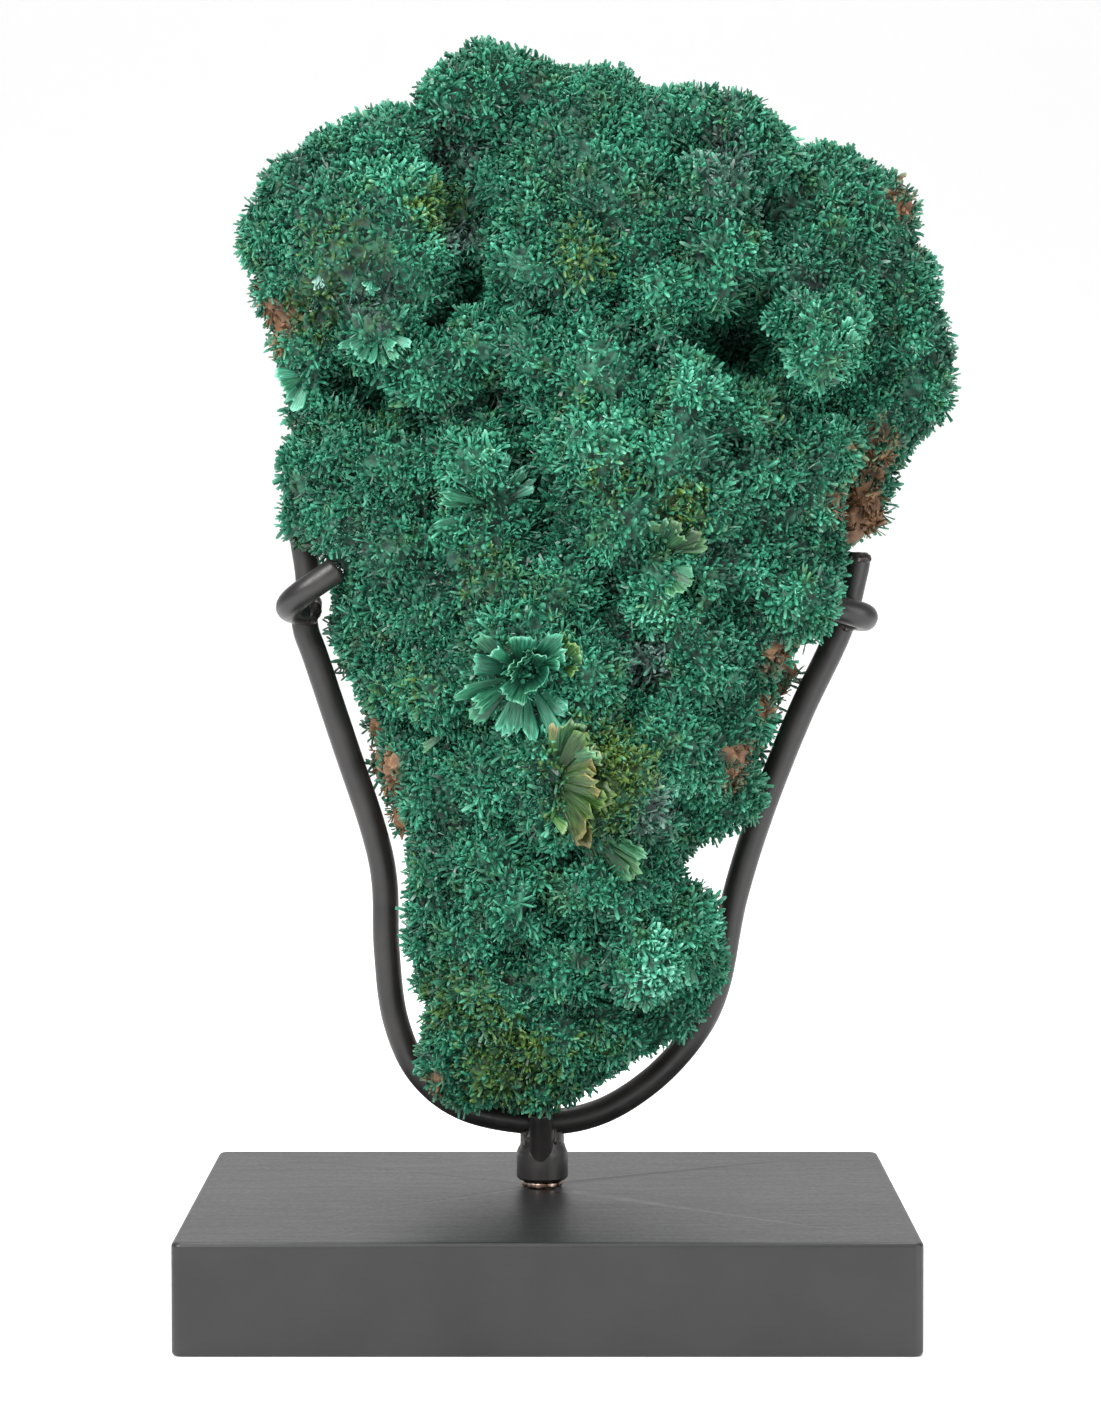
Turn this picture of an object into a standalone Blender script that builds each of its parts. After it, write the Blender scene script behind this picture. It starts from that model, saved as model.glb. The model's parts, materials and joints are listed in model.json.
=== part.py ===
# Malachite specimen standing in a rod cradle on a painted block.
# Metres, +Z up, +Y to the back. The origin is the centre of the block's underside.

import math

import bmesh
import bpy
import numpy as np
from mathutils import Matrix, Vector, noise

MM = 0.001

# The block
BLOCK_WIDTH = 160 * MM
BLOCK_DEPTH = 120 * MM
BLOCK_HEIGHT = 24.5 * MM
BLOCK_CORNER = 2.2 * MM
BLOCK_EDGE = 1.0 * MM

# The post, the sleeve on it and the gap that neighbours keep
STEM_X = -1.3 * MM
STEM_Y = 10 * MM
PEG_RADIUS = 3.5 * MM
PEG_TOP = 33.5 * MM
STUB_RADIUS = 3.0 * MM
STUB_DEPTH = 11 * MM
FOOT_RADIUS = 4.7 * MM
FOOT_HEIGHT = 1.2 * MM
COLLAR_RADIUS = 5.9 * MM
COLLAR_HEIGHT = 5.6 * MM
COLLAR_CHAMFER = 0.6 * MM
NECK_RADIUS = 5.0 * MM
NECK_TOP = 37.6 * MM
WELD_SHOULDER = 1.6 * MM
WELD_HEIGHT = 3.6 * MM
GAP = 0.3 * MM
COLLAR_FOOT = BLOCK_HEIGHT + FOOT_HEIGHT + 2 * GAP

# Finishing: sides of the round pieces, the angles that count as an edge, merge distances
ROUND_SIDES = 24
SMOOTH_ANGLE = 38
EDGE_ANGLE = 60
MERGE = 0.001 * MM
CURVE_MERGE = 0.01 * MM

# The rods
ROD_RADIUS = 3.0 * MM
PRONG_RADIUS = 2.75 * MM
ROD_STEP = 6 * MM
BEND_STEP = 1.8 * MM
ROD_RESOLUTION = 4
END_CHAMFER = 0.45 * MM
TIP_CHAMFER = 0.9 * MM

# The cradle rod runs in one upright plane, listed as across and up in millimetres,
# from the tip behind the specimen's left edge round the bottom to the right tip.
CRADLE_ROUTE = [
    (-56.8, 178.0), (-55.8, 172.3), (-54.7, 164.0), (-55.6, 157.8), (-55.3, 152.6),
    (-52.9, 145.8), (-46.2, 125.6), (-40.1, 107.3), (-37.5, 95.0), (-37.0, 79.0),
    (-35.0, 63.0), (-29.2, 50.4), (-18.4, 42.4), (-1.5, 39.5), (12.0, 41.8),
    (24.4, 49.6), (34.0, 60.4), (39.0, 71.5), (42.8, 91.0), (48.9, 111.0),
    (57.5, 133.0), (66.5, 152.3), (70.0, 165.0), (70.9, 170.3),
]

# The short rods, as across, deep and up in millimetres, from the weld to the tip
LEFT_CLAW_ROUTE = [
    (-55.4, 9.5, 157.0), (-57.3, 4.0, 157.2), (-58.4, -0.6, 158.0), (-57.3, -4.0, 159.6),
    (-54.4, -5.7, 161.9), (-50.6, -6.0, 164.5), (-47.2, -5.6, 166.9),
]
RIGHT_CLAW_ROUTE = [
    (67.4, 9.5, 156.2), (70.2, 4.6, 155.7), (71.6, 0.4, 155.7), (70.6, -3.0, 156.3),
    (67.2, -4.6, 157.3), (62.6, -4.8, 158.6), (57.6, -4.2, 160.0),
]
PRONG_ROUTE = [(-1.5, 7.6, 29.6), (-1.7, 2.8, 43.0)]

# The specimen is a body of big rounded masses with smaller lobes grown on it.
# Millimetres: across, deep, up, then half the width, depth and height of each mass.
MASSES = [
    (-40, 3, 237, 24, 23, 25), (10, 5, 240, 34, 26, 36), (57, 10, 229, 26, 22, 31),
    (10, 5, 187, 56, 26, 39), (8, 5, 151, 45, 26, 34), (2, 4, 114, 34, 24, 30),
    (-5, 4, 78, 22, 19, 33), (19, 3, 78, 18, 15, 15), (-8, 9, 54, 12, 9, 12),
    (-46, 8, 206, 14, 15, 14), (-20, 10, 258, 13, 12, 13), (-20, 6, 222, 14, 16, 14),
]

# Lobes in millimetres: across, deep, up and radius, listed by the region they make up
LOBES = {
    "top knob": [
        (-16, 2, 273, 11), (-23, -3, 272, 7.4), (-9, 2, 277, 8), (-15, 0, 281, 5.6),
        (-19, 2, 278, 4.5), (-2, 4, 275, 7),
    ],
    "upper left": [
        (-42, 3, 241, 22.5), (-60, 0, 241, 10.4), (-56, 0, 252, 9), (-47, 1, 258, 9),
        (-36, -2, 261, 10.2), (-58, -2, 229, 9), (-54, -4, 218, 9), (-37, -12, 219, 10.2),
        (-30, -9, 233, 11.1), (-34, -8, 248, 11.6),
    ],
    "top middle": [
        (12, 2, 267, 13.4), (-1, 4, 269, 11.7), (23, -4, 264, 10.3), (32, -5, 267, 8.7),
        (42, -4, 263, 10.7), (48, -2, 257, 9.9), (2, -2, 254, 11.7), (12, -10, 248, 10.2),
        (20, -13, 237, 8.9),
    ],
    "middle ridge": [
        (37, -14, 250, 10.2), (39, -15, 237, 9.7), (37, -17, 228, 7.1), (25, -19, 228, 7.5),
        (24, -15, 245, 6.6),
    ],
    "right": [
        (62, 8, 250, 13.6), (74, 9, 247, 11), (77, 9, 230, 12.4), (81, 9, 218, 11.4),
        (82, 9, 208, 11), (73, 9, 201, 13.2), (57, -2, 238, 9.9), (53, -8, 232, 7.6),
        (73, 12, 188, 7.6), (72, 15, 180, 7.6), (67, 14, 173, 5.5),
    ],
    "fan hood": [(60, -20, 215, 8.4), (56, -17, 222, 6.6), (65, -13, 222, 6.7)],
    "upper centre": [
        (-2, -10, 245, 9.8), (-4, -15, 233, 9.3), (6, -16, 234, 10.2), (-15, -16, 217, 8.4),
        (-4, -16, 214, 9.7), (12, -17, 211, 12.8), (20, -19, 217, 8.8), (31, -22, 207, 8.8),
        (7, -14, 222, 9.7),
    ],
    "left middle": [
        (-52, 1, 189, 9.5), (-54, 4, 178, 7.7), (-45, -5, 196, 9), (-26, -12, 209, 10.2),
        (-54, -5, 207, 5.2), (-33, -7, 190, 12.5), (-17, -15, 192, 10.6), (-45, -1, 178, 11.3),
        (-33, -5, 172, 13), (-17, -9, 173, 12.5),
    ],
    "centre": [
        (12, -19, 193, 13.2), (27, -19, 193, 13.2), (16, -19, 178, 13.3), (34, -16, 182, 12.4),
        (47, -9, 189, 12.9), (57, -6, 182, 10.3), (43, -13, 200, 8.9), (63, -6, 193, 8.1),
        (55, -1, 169, 12.6), (43, -9, 169, 12.5), (27, -18, 162, 12.4), (3, -21, 162, 8.8),
    ],
    "left belly": [
        (-37, 2, 160, 11.8), (-24, -5, 158, 13.5), (-40, 4, 151, 8.2), (-34, 2, 142, 10),
        (-22, -10, 142, 12.1), (-11, -15, 162, 11.1),
    ],
    "left rim": [
        (-44, 14, 154, 7.5), (-42, 16, 144, 7), (-36, 16, 131, 7.5), (-34, 15, 121, 8),
        (-30, 13, 111, 7.5), (-31, 15, 168, 12),
    ],
    "right rim": [
        (57, 14, 152, 5.5), (53, 15, 142, 6), (48, 14, 131, 6.5), (44, 13, 122, 6.5),
        (62, 12, 172, 7),
    ],
    "rosette boss": [
        (-6, -23, 148, 14.5), (7, -24, 143, 12.3), (3, -23, 128, 14.5), (14, -27, 118, 13.2),
        (3, -26, 114, 10.1),
    ],
    "right belly": [
        (56, -12, 160, 10), (43, -3, 151, 12.6), (32, -14, 147, 12.5), (41, -3, 135, 10.8),
        (34, -6, 124, 11.7), (42, 0, 116, 8.2), (36, -1, 112, 6.8), (25, -16, 129, 12),
    ],
    "waist": [
        (-29, 2, 123, 10.4), (-22, -4, 115, 11.7), (-11, -14, 120, 11.6), (-22, -4, 101, 10.4),
        (-24, -1, 90, 8.6), (-11, -11, 102, 12.5), (21, -15, 109, 8.9),
    ],
    "stem": [
        (12, -19, 98, 12.9), (-2, -16, 93, 12.5), (-15, -6, 85, 11.7), (23, -13, 95, 8.9),
        (3, -11, 79, 12.5), (-11, -6, 72, 13.5), (-19, -4, 65, 9.6), (-23, 0, 55, 8),
        (-11, -3, 56, 11.3), (1, -6, 61, 11.7), (-1, -3, 52, 9.1), (12, -4, 62, 10),
        (-27, 2, 82, 6.5), (6, -4, 53, 6.4), (-19, 0, 50, 7), (-25, 1, 73, 6),
    ],
    "right knob": [
        (20, -20, 79, 9.8), (30, -11, 86, 9.4), (32, -7, 77, 8.6), (28, -3, 68, 8),
        (19, -4, 63, 7.4), (33, -6, 90, 6.6),
    ],
}

# Clefts and pits in the front, in millimetres: across, up, radius and depth
CLEFTS = {
    "long cleft": [
        (-11, 205, 3.2, 8), (-8, 198, 3.4, 12), (-4.6, 191.5, 3.6, 14), (-2, 185, 3.6, 14),
        (-0.5, 177, 3.4, 9),
    ],
    "hollow": [(43.5, 217, 7.4, 16), (50, 221, 4.4, 10)],
    "ridge cleft": [(15.5, 225, 2.8, 8), (19.6, 219, 3.2, 10), (23.2, 213, 3, 9)],
    "knee pits": [(-15, 246, 3.4, 8), (-16, 230, 5, 11), (-14.5, 223, 4.2, 9), (0, 222, 3.2, 6)],
    "left pits": [(-44, 208, 3.8, 9), (-40, 203, 3.4, 8), (-30, 199, 3.2, 6), (-17, 200, 3.4, 7)],
    "right pits": [(30.5, 163, 3.2, 9), (53, 194, 3.8, 8), (41, 194, 3.4, 7)],
    "shelf": [(6, 105, 5, 9), (16, 104.5, 4.8, 8), (-3, 106, 4, 7)],
    "lower pits": [(-2, 93, 3.2, 8), (2.8, 87, 3.4, 9), (-7, 81, 4, 7), (11.5, 88, 3.2, 6)],
}

# The specimen's mesh
VOXEL = 1.5 * MM
SOFTENING = 3
FRONT_FACING = 0.35
BACK_START = 12 * MM
BACK_FLATNESS = 0.5
BREAK_SIZE = 13 * MM
BREAK_HEIGHT = 2.6 * MM
BREAK_ROUGHNESS = 0.8
LUMP_SIZE = 7 * MM
LUMP_HEIGHT = 1.1 * MM
LUMP_ROUGHNESS = 0.9
NOISE_OCTAVES = 3
SPECIMEN_TRIANGLES = 5900


def clear_scene():
    for old in list(bpy.data.objects):
        bpy.data.objects.remove(old, do_unlink=True)


def material(name, colour, roughness, metallic):
    mat = bpy.data.materials.new(name)
    mat.use_nodes = True
    shader = mat.node_tree.nodes["Principled BSDF"]
    shader.inputs["Base Color"].default_value = (*colour, 1.0)
    shader.inputs["Roughness"].default_value = roughness
    shader.inputs["Metallic"].default_value = metallic
    mat.diffuse_color = (*colour, 1.0)
    return mat


def place(name, mesh, mat=None):
    obj = bpy.data.objects.new(name, mesh)
    bpy.context.scene.collection.objects.link(obj)
    if mat:
        mesh.materials.clear()
        mesh.materials.append(mat)
    return obj


def from_bmesh(name, bm, mat=None):
    bmesh.ops.recalc_face_normals(bm, faces=bm.faces)
    mesh = bpy.data.meshes.new(name)
    bm.to_mesh(mesh)
    bm.free()
    return place(name, mesh, mat)


def shade_round(obj):
    obj.data.shade_smooth()
    obj.data.set_sharp_from_angle(angle=math.radians(SMOOTH_ANGLE))


def make_cutter(obj):
    obj.hide_render = True
    obj.display_type = "WIRE"
    return obj


def cut(obj, cutter):
    """Keeps the cutter's shape out of the object."""
    boolean = obj.modifiers.new("cut by " + cutter.name, "BOOLEAN")
    boolean.operation = "DIFFERENCE"
    boolean.solver = "EXACT"
    boolean.object = cutter


def evaluated_mesh(obj):
    graph = bpy.context.evaluated_depsgraph_get()
    return bpy.data.meshes.new_from_object(obj.evaluated_get(graph))


def smooth_route(points, step):
    """Points about a step apart on the smooth curve through the given points."""
    ends = [points[0] * 2 - points[1], *points, points[-1] * 2 - points[-2]]
    route = []
    for before, start, stop, after in zip(ends, ends[1:], ends[2:], ends[3:]):
        slope = stop - before
        bend = 2 * before - 5 * start + 4 * stop - after
        twist = 3 * start - before - 3 * stop + after
        count = max(1, round((stop - start).length / step))
        for i in range(count):
            t = i / count
            route.append(start + (slope * t + bend * t**2 + twist * t**3) / 2)
    return [*route, points[-1]]


def chamfered(route, radius, start, end):
    """The route with a point near each end and the share of the radius at every point."""
    points = [(p, 1.0) for p in route]
    for at, width in ((0, start), (-1, end)):
        if width:
            tip = route[at]
            inner = route[1] if at == 0 else route[-2]
            shoulder = tip + (inner - tip).normalized() * width
            points[at] = (tip, 1 - width / radius)
            points.insert(1 if at == 0 else len(points) - 1, (shoulder, 1.0))
    return points


def rod_mesh(name, route, radius, start=0.0, end=0.0):
    """A round rod along the route, with flat ends chamfered by the given widths."""
    curve = bpy.data.curves.new(name, "CURVE")
    curve.dimensions = "3D"
    curve.bevel_depth = radius
    curve.bevel_resolution = ROD_RESOLUTION
    curve.use_fill_caps = True
    points = chamfered(route, radius, start, end)
    spline = curve.splines.new("POLY")
    spline.points.add(len(points) - 1)
    for knot, (place_at, share) in zip(spline.points, points):
        knot.co = (*place_at, 1.0)
        knot.radius = share
    guide = bpy.data.objects.new(name, curve)
    bpy.context.scene.collection.objects.link(guide)
    mesh = evaluated_mesh(guide)
    bpy.data.objects.remove(guide, do_unlink=True)
    bpy.data.curves.remove(curve)
    bm = bmesh.new()
    bm.from_mesh(mesh)
    bpy.data.meshes.remove(mesh)
    bmesh.ops.remove_doubles(bm, verts=bm.verts, dist=CURVE_MERGE)
    return bm


def rod(name, route, radius, mat, start=0.0, end=0.0):
    obj = from_bmesh(name, rod_mesh(name, route, radius, start, end), mat)
    shade_round(obj)
    return obj


def rod_cutter(name, route, radius):
    return make_cutter(from_bmesh(name, rod_mesh(name, route, radius + GAP)))


def turned(name, profile, mat=None):
    """A solid turned about the stem's axis from (radius, height) points on its outline."""
    bm = bmesh.new()
    around = []
    for i in range(ROUND_SIDES):
        turn = 2 * math.pi * i / ROUND_SIDES
        ring = []
        for radius, height in profile:
            x = STEM_X + radius * math.cos(turn)
            y = STEM_Y + radius * math.sin(turn)
            ring.append(bm.verts.new((x, y, height)))
        around.append(ring)
    for ring, following in zip(around, around[1:] + around[:1]):
        for i in range(len(profile)):
            j = (i + 1) % len(profile)
            bm.faces.new((ring[i], following[i], following[j], ring[j]))
    bmesh.ops.remove_doubles(bm, verts=bm.verts, dist=MERGE)
    bmesh.ops.dissolve_degenerate(bm, edges=bm.edges, dist=MERGE)
    obj = from_bmesh(name, bm, mat)
    shade_round(obj)
    return obj


def build_block(mat):
    bm = bmesh.new()
    bmesh.ops.create_cube(bm, size=1.0)
    size = Matrix.Diagonal((BLOCK_WIDTH, BLOCK_DEPTH, BLOCK_HEIGHT, 1.0))
    lift = Matrix.Translation((0, 0, BLOCK_HEIGHT / 2))
    bmesh.ops.transform(bm, matrix=lift @ size, verts=bm.verts)
    upright = [e for e in bm.edges if e.verts[0].co.xy == e.verts[1].co.xy]
    bmesh.ops.bevel(bm, geom=upright, offset=BLOCK_CORNER, segments=4, profile=0.5, affect="EDGES")
    block = from_bmesh("base_block", bm, mat)
    bevel = block.modifiers.new("rounded edges", "BEVEL")
    bevel.width = BLOCK_EDGE
    bevel.segments = 3
    bevel.limit_method = "ANGLE"
    bevel.angle_limit = math.radians(EDGE_ANGLE)
    shade_round(block)
    hole_radius = STUB_RADIUS + GAP
    hole_bottom = BLOCK_HEIGHT - STUB_DEPTH - GAP
    above = BLOCK_HEIGHT + STUB_DEPTH
    drill = turned(
        "post_hole",
        [(0, hole_bottom), (hole_radius, hole_bottom), (hole_radius, above), (0, above)],
    )
    cut(block, make_cutter(drill))


def build_post(mat):
    foot = BLOCK_HEIGHT + GAP
    turned(
        "base_post",
        [
            (0, BLOCK_HEIGHT - STUB_DEPTH),
            (STUB_RADIUS, BLOCK_HEIGHT - STUB_DEPTH),
            (STUB_RADIUS, foot),
            (FOOT_RADIUS, foot),
            (FOOT_RADIUS, foot + FOOT_HEIGHT),
            (PEG_RADIUS, foot + FOOT_HEIGHT),
            (PEG_RADIUS, PEG_TOP),
            (0, PEG_TOP),
        ],
        mat,
    )


def collar_outline(extra=0.0):
    """The sleeve's outside from its lower edge up over the weld mound."""
    high = COLLAR_FOOT + COLLAR_HEIGHT
    return [
        (COLLAR_RADIUS - COLLAR_CHAMFER + extra, COLLAR_FOOT - extra),
        (COLLAR_RADIUS + extra, COLLAR_FOOT + COLLAR_CHAMFER),
        (COLLAR_RADIUS + extra, high),
        ((COLLAR_RADIUS + NECK_RADIUS) / 2 + extra, high + WELD_SHOULDER),
        (NECK_RADIUS + extra, high + WELD_HEIGHT),
        (NECK_RADIUS + extra, NECK_TOP + extra),
    ]


def build_collar(mat, rod_space):
    bore = PEG_RADIUS + GAP
    roof = PEG_TOP + GAP
    inside = [(0, NECK_TOP), (0, roof), (bore, roof), (bore, COLLAR_FOOT)]
    collar = turned("collar", [*collar_outline(), *inside], mat)
    cut(collar, rod_space)
    solid = turned("collar_space", [(0, 0), *collar_outline(GAP), (0, NECK_TOP + GAP)])
    return make_cutter(solid)


def build_cradle(mat):
    points = [Vector((x * MM, STEM_Y, z * MM)) for x, z in CRADLE_ROUTE]
    route = smooth_route(points, ROD_STEP)
    rod("cradle_rod", route, ROD_RADIUS, mat, start=END_CHAMFER, end=END_CHAMFER)
    return rod_cutter("cradle_space", route, ROD_RADIUS)


def build_prong(mat, spaces):
    route = [Vector(p) * MM for p in PRONG_ROUTE]
    prong = rod("front_prong", route, PRONG_RADIUS, mat, end=END_CHAMFER)
    for space in spaces:
        cut(prong, space)
    return rod_cutter("prong_space", route, PRONG_RADIUS)


def build_claw(name, points, mat, cradle_space):
    route = smooth_route([Vector(p) * MM for p in points], BEND_STEP)
    claw = rod(name, route, ROD_RADIUS, mat, end=TIP_CHAMFER)
    cut(claw, cradle_space)
    return rod_cutter(name + "_space", route, ROD_RADIUS)


def add_ball(bm, centre, half_sizes):
    place_at = Matrix.Translation(Vector(centre) * MM)
    size = Matrix.Diagonal((*(s * MM for s in half_sizes), 1.0))
    bmesh.ops.create_icosphere(bm, subdivisions=3, radius=1.0, matrix=place_at @ size)


def grow_specimen():
    """The masses and lobes as one closed skin."""
    bm = bmesh.new()
    for x, y, z, width, depth, height in MASSES:
        add_ball(bm, (x, y, z), (width, depth, height))
    for region in LOBES.values():
        for x, y, z, radius in region:
            add_ball(bm, (x, y, z), (radius, radius, radius))
    grown = from_bmesh("grown", bm)
    skin = grown.modifiers.new("one skin", "REMESH")
    skin.mode = "VOXEL"
    skin.voxel_size = VOXEL
    soften = grown.modifiers.new("soften", "SMOOTH")
    soften.iterations = SOFTENING
    mesh = evaluated_mesh(grown)
    bpy.data.objects.remove(grown, do_unlink=True)
    return mesh


def read_vectors(items, name):
    values = np.empty(len(items) * 3, dtype=np.float32)
    items.foreach_get(name, values)
    return values.reshape(-1, 3).astype(float)


def move_to(mesh, places):
    mesh.vertices.foreach_set("co", places.ravel())
    mesh.update()


def noise_at(places, size, roughness):
    octaves = NOISE_OCTAVES
    return np.array([noise.fractal(Vector(p) / size, roughness, 2.0, octaves) for p in places])


def carve_clefts(mesh):
    """Sinks the front surface into the clefts and pits."""
    places = read_vectors(mesh.vertices, "co")
    normals = read_vectors(mesh.vertex_normals, "vector")
    facing = np.clip(FRONT_FACING - normals[:, 1], 0, 1) * (places[:, 1] < 0)
    sink = np.zeros(len(places))
    for x, z, radius, depth in (pit for group in CLEFTS.values() for pit in group):
        away = np.hypot(places[:, 0] - x * MM, places[:, 2] - z * MM) / (radius * MM)
        sink = np.maximum(sink, depth * MM * np.exp(-(away**2)))
    places[:, 1] += sink * facing
    move_to(mesh, places)


def break_back(mesh):
    """Flattens the back, where the specimen was broken off its wall, and makes it uneven."""
    places = read_vectors(mesh.vertices, "co")
    beyond = np.clip(places[:, 1] - BACK_START, 0, None)
    breaks = noise_at(places, BREAK_SIZE, BREAK_ROUGHNESS)
    share = np.clip(beyond / BACK_START, 0, 1)
    places[:, 1] += breaks * share * BREAK_HEIGHT - beyond * (1 - BACK_FLATNESS)
    move_to(mesh, places)


def roughen(mesh):
    """Gives the skin lumps at the scale of the crystal tufts' clusters."""
    places = read_vectors(mesh.vertices, "co")
    normals = read_vectors(mesh.vertex_normals, "vector")
    lumps = noise_at(places, LUMP_SIZE, LUMP_ROUGHNESS)
    move_to(mesh, places + normals * lumps[:, None] * LUMP_HEIGHT)


def build_specimen(mat, spaces):
    mesh = grow_specimen()
    carve_clefts(mesh)
    break_back(mesh)
    roughen(mesh)
    specimen = place("malachite", mesh, mat)
    thin = specimen.modifiers.new("fewer faces", "DECIMATE")
    thin.ratio = SPECIMEN_TRIANGLES / (2 * len(mesh.polygons))
    for space in spaces:
        cut(specimen, space)


def build():
    clear_scene()
    black_paint = material("black_paint", (0.018, 0.018, 0.019), 0.42, 0.0)
    black_steel = material("black_steel", (0.022, 0.021, 0.021), 0.38, 0.4)
    bare_steel = material("bare_steel", (0.35, 0.32, 0.29), 0.35, 1.0)
    green_stone = material("green_stone", (0.02, 0.27, 0.15), 0.6, 0.0)

    build_block(black_paint)
    build_post(bare_steel)
    cradle_space = build_cradle(black_steel)
    collar_space = build_collar(black_steel, cradle_space)
    prong_space = build_prong(black_steel, [collar_space, cradle_space])
    left_space = build_claw("left_claw", LEFT_CLAW_ROUTE, black_steel, cradle_space)
    right_space = build_claw("right_claw", RIGHT_CLAW_ROUTE, black_steel, cradle_space)
    build_specimen(green_stone, [cradle_space, left_space, right_space, prong_space])


build()
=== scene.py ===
import json
import math
import random

import bmesh
import bpy
import numpy as np
from mathutils import Euler, Matrix, Vector, noise
from mathutils.bvhtree import BVHTree

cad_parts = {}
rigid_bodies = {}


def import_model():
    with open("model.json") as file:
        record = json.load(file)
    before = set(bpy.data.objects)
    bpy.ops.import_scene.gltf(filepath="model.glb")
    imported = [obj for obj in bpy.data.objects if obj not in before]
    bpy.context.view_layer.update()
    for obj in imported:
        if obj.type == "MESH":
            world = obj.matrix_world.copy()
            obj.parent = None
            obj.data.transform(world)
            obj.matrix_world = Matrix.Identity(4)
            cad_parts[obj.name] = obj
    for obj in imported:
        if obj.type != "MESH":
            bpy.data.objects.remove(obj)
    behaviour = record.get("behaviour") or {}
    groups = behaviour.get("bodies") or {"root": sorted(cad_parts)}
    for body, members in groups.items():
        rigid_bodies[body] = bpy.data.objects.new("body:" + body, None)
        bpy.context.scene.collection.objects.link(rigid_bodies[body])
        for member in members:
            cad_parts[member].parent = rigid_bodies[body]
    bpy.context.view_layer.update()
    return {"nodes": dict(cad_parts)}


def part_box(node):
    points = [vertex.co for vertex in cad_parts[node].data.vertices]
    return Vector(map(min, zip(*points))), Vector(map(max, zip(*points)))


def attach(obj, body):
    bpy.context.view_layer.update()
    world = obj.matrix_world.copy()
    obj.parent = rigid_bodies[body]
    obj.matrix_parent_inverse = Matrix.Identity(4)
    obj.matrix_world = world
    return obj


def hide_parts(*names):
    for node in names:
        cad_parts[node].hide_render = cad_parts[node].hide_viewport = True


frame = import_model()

mm = 0.001
rootBody = "root"
print("frame loaded")


# Small helpers for objects, node trees and materials

def newObject(name, mesh, finish=None):
    made = bpy.data.objects.new(name, mesh)
    bpy.context.scene.collection.objects.link(made)
    if finish:
        mesh.materials.clear()
        mesh.materials.append(finish)
    return made


def meshFrom(bm, name):
    mesh = bpy.data.meshes.new(name)
    bm.to_mesh(mesh)
    bm.free()
    return mesh


def bakedDown(obj):
    # The object with its modifiers turned into plain mesh
    graph = bpy.context.evaluated_depsgraph_get()
    mesh = bpy.data.meshes.new_from_object(obj.evaluated_get(graph))
    mesh.name = obj.name
    obj.modifiers.clear()
    obj.data = mesh
    return obj


def mergedCopy(nodeName, name):
    bm = bmesh.new()
    bm.from_mesh(frame["nodes"][nodeName].data)
    bmesh.ops.remove_doubles(bm, verts=bm.verts, dist=0.002 * mm)
    return newObject(name, meshFrom(bm, name))


def addNode(tree, kind, values=None, **settings):
    made = tree.nodes.new(kind)
    for name, value in settings.items():
        setattr(made, name, value)
    for socket, value in (values or {}).items():
        if isinstance(value, bpy.types.NodeSocket):
            tree.links.new(value, made.inputs[socket])
        else:
            made.inputs[socket].default_value = value
    return made


def maths(tree, operation, a, b=0.0, clamp=False):
    return addNode(
        tree, "ShaderNodeMath", {0: a, 1: b}, operation=operation, use_clamp=clamp
    ).outputs[0]


def mixed(tree, factor, a, b, blend="MIX"):
    made = addNode(
        tree, "ShaderNodeMix", {0: factor, 6: a, 7: b}, data_type="RGBA", blend_type=blend
    )
    return made.outputs[2]


def remapped(tree, value, low, high, newLow=0.0, newHigh=1.0):
    return addNode(
        tree, "ShaderNodeMapRange", {0: value, 1: low, 2: high, 3: newLow, 4: newHigh}
    ).outputs[0]


def ramped(tree, factor, stops):
    made = addNode(tree, "ShaderNodeValToRGB", {0: factor})
    elements = made.color_ramp.elements
    while len(elements) < len(stops):
        elements.new(1.0)
    for element, (place, colour) in zip(elements, stops):
        element.position = place
        element.color = (*colour, 1.0)
    return made.outputs[0]


def noisy(tree, place, size, detail=3.0, roughness=0.55):
    made = addNode(
        tree, "ShaderNodeTexNoise",
        {"Vector": place, "Scale": 1 / size, "Detail": detail, "Roughness": roughness},
    )
    return made.outputs[0]


def attribute(tree, name):
    return addNode(tree, "ShaderNodeAttribute", attribute_name=name).outputs["Fac"]


def startFinish(name, roughness, metallic=0.0):
    finish = bpy.data.materials.new(name)
    finish.use_nodes = True
    tree = finish.node_tree
    shader = tree.nodes["Principled BSDF"]
    shader.inputs["Roughness"].default_value = roughness
    shader.inputs["Metallic"].default_value = metallic
    place = addNode(tree, "ShaderNodeTexCoord").outputs["Object"]
    return finish, tree, shader, place


def bumped(tree, shader, height, strength, depth):
    made = addNode(
        tree, "ShaderNodeBump", {"Height": height, "Strength": strength, "Distance": depth}
    )
    tree.links.new(made.outputs[0], shader.inputs["Normal"])


# Camera, lights and the floor

view = {
    "place": (0.0014, -0.859, 0.1755),
    "downTilt": 2.772,
    "turn": 0.0528,
    "focalPixels": 3800,
    "longSidePixels": 1428,
    "sensor": 36.0,
}


def setCamera():
    data = bpy.data.cameras.new("camera")
    data.sensor_width = view["sensor"]
    data.lens = view["focalPixels"] * view["sensor"] / view["longSidePixels"]
    data.clip_start = 0.05
    data.clip_end = 30
    camera = bpy.data.objects.new("camera", data)
    camera.location = view["place"]
    camera.rotation_euler = (math.radians(90 - view["downTilt"]), 0, math.radians(view["turn"]))
    bpy.context.scene.collection.objects.link(camera)
    bpy.context.scene.camera = camera


studio = {
    "keyPlace": (-0.62, -0.95, 0.95), "keySize": 0.7, "keyPower": 26,
    "fillPlace": (0.95, -0.75, 0.42), "fillSize": 0.8, "fillPower": 7,
    "topPlace": (0.05, 0.25, 1.15), "topSize": 0.8, "topPower": 13,
    "aim": (0.0, 0.0, 0.17),
    "world": 0.42,
    "floorGlow": 0.28,
}


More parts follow.
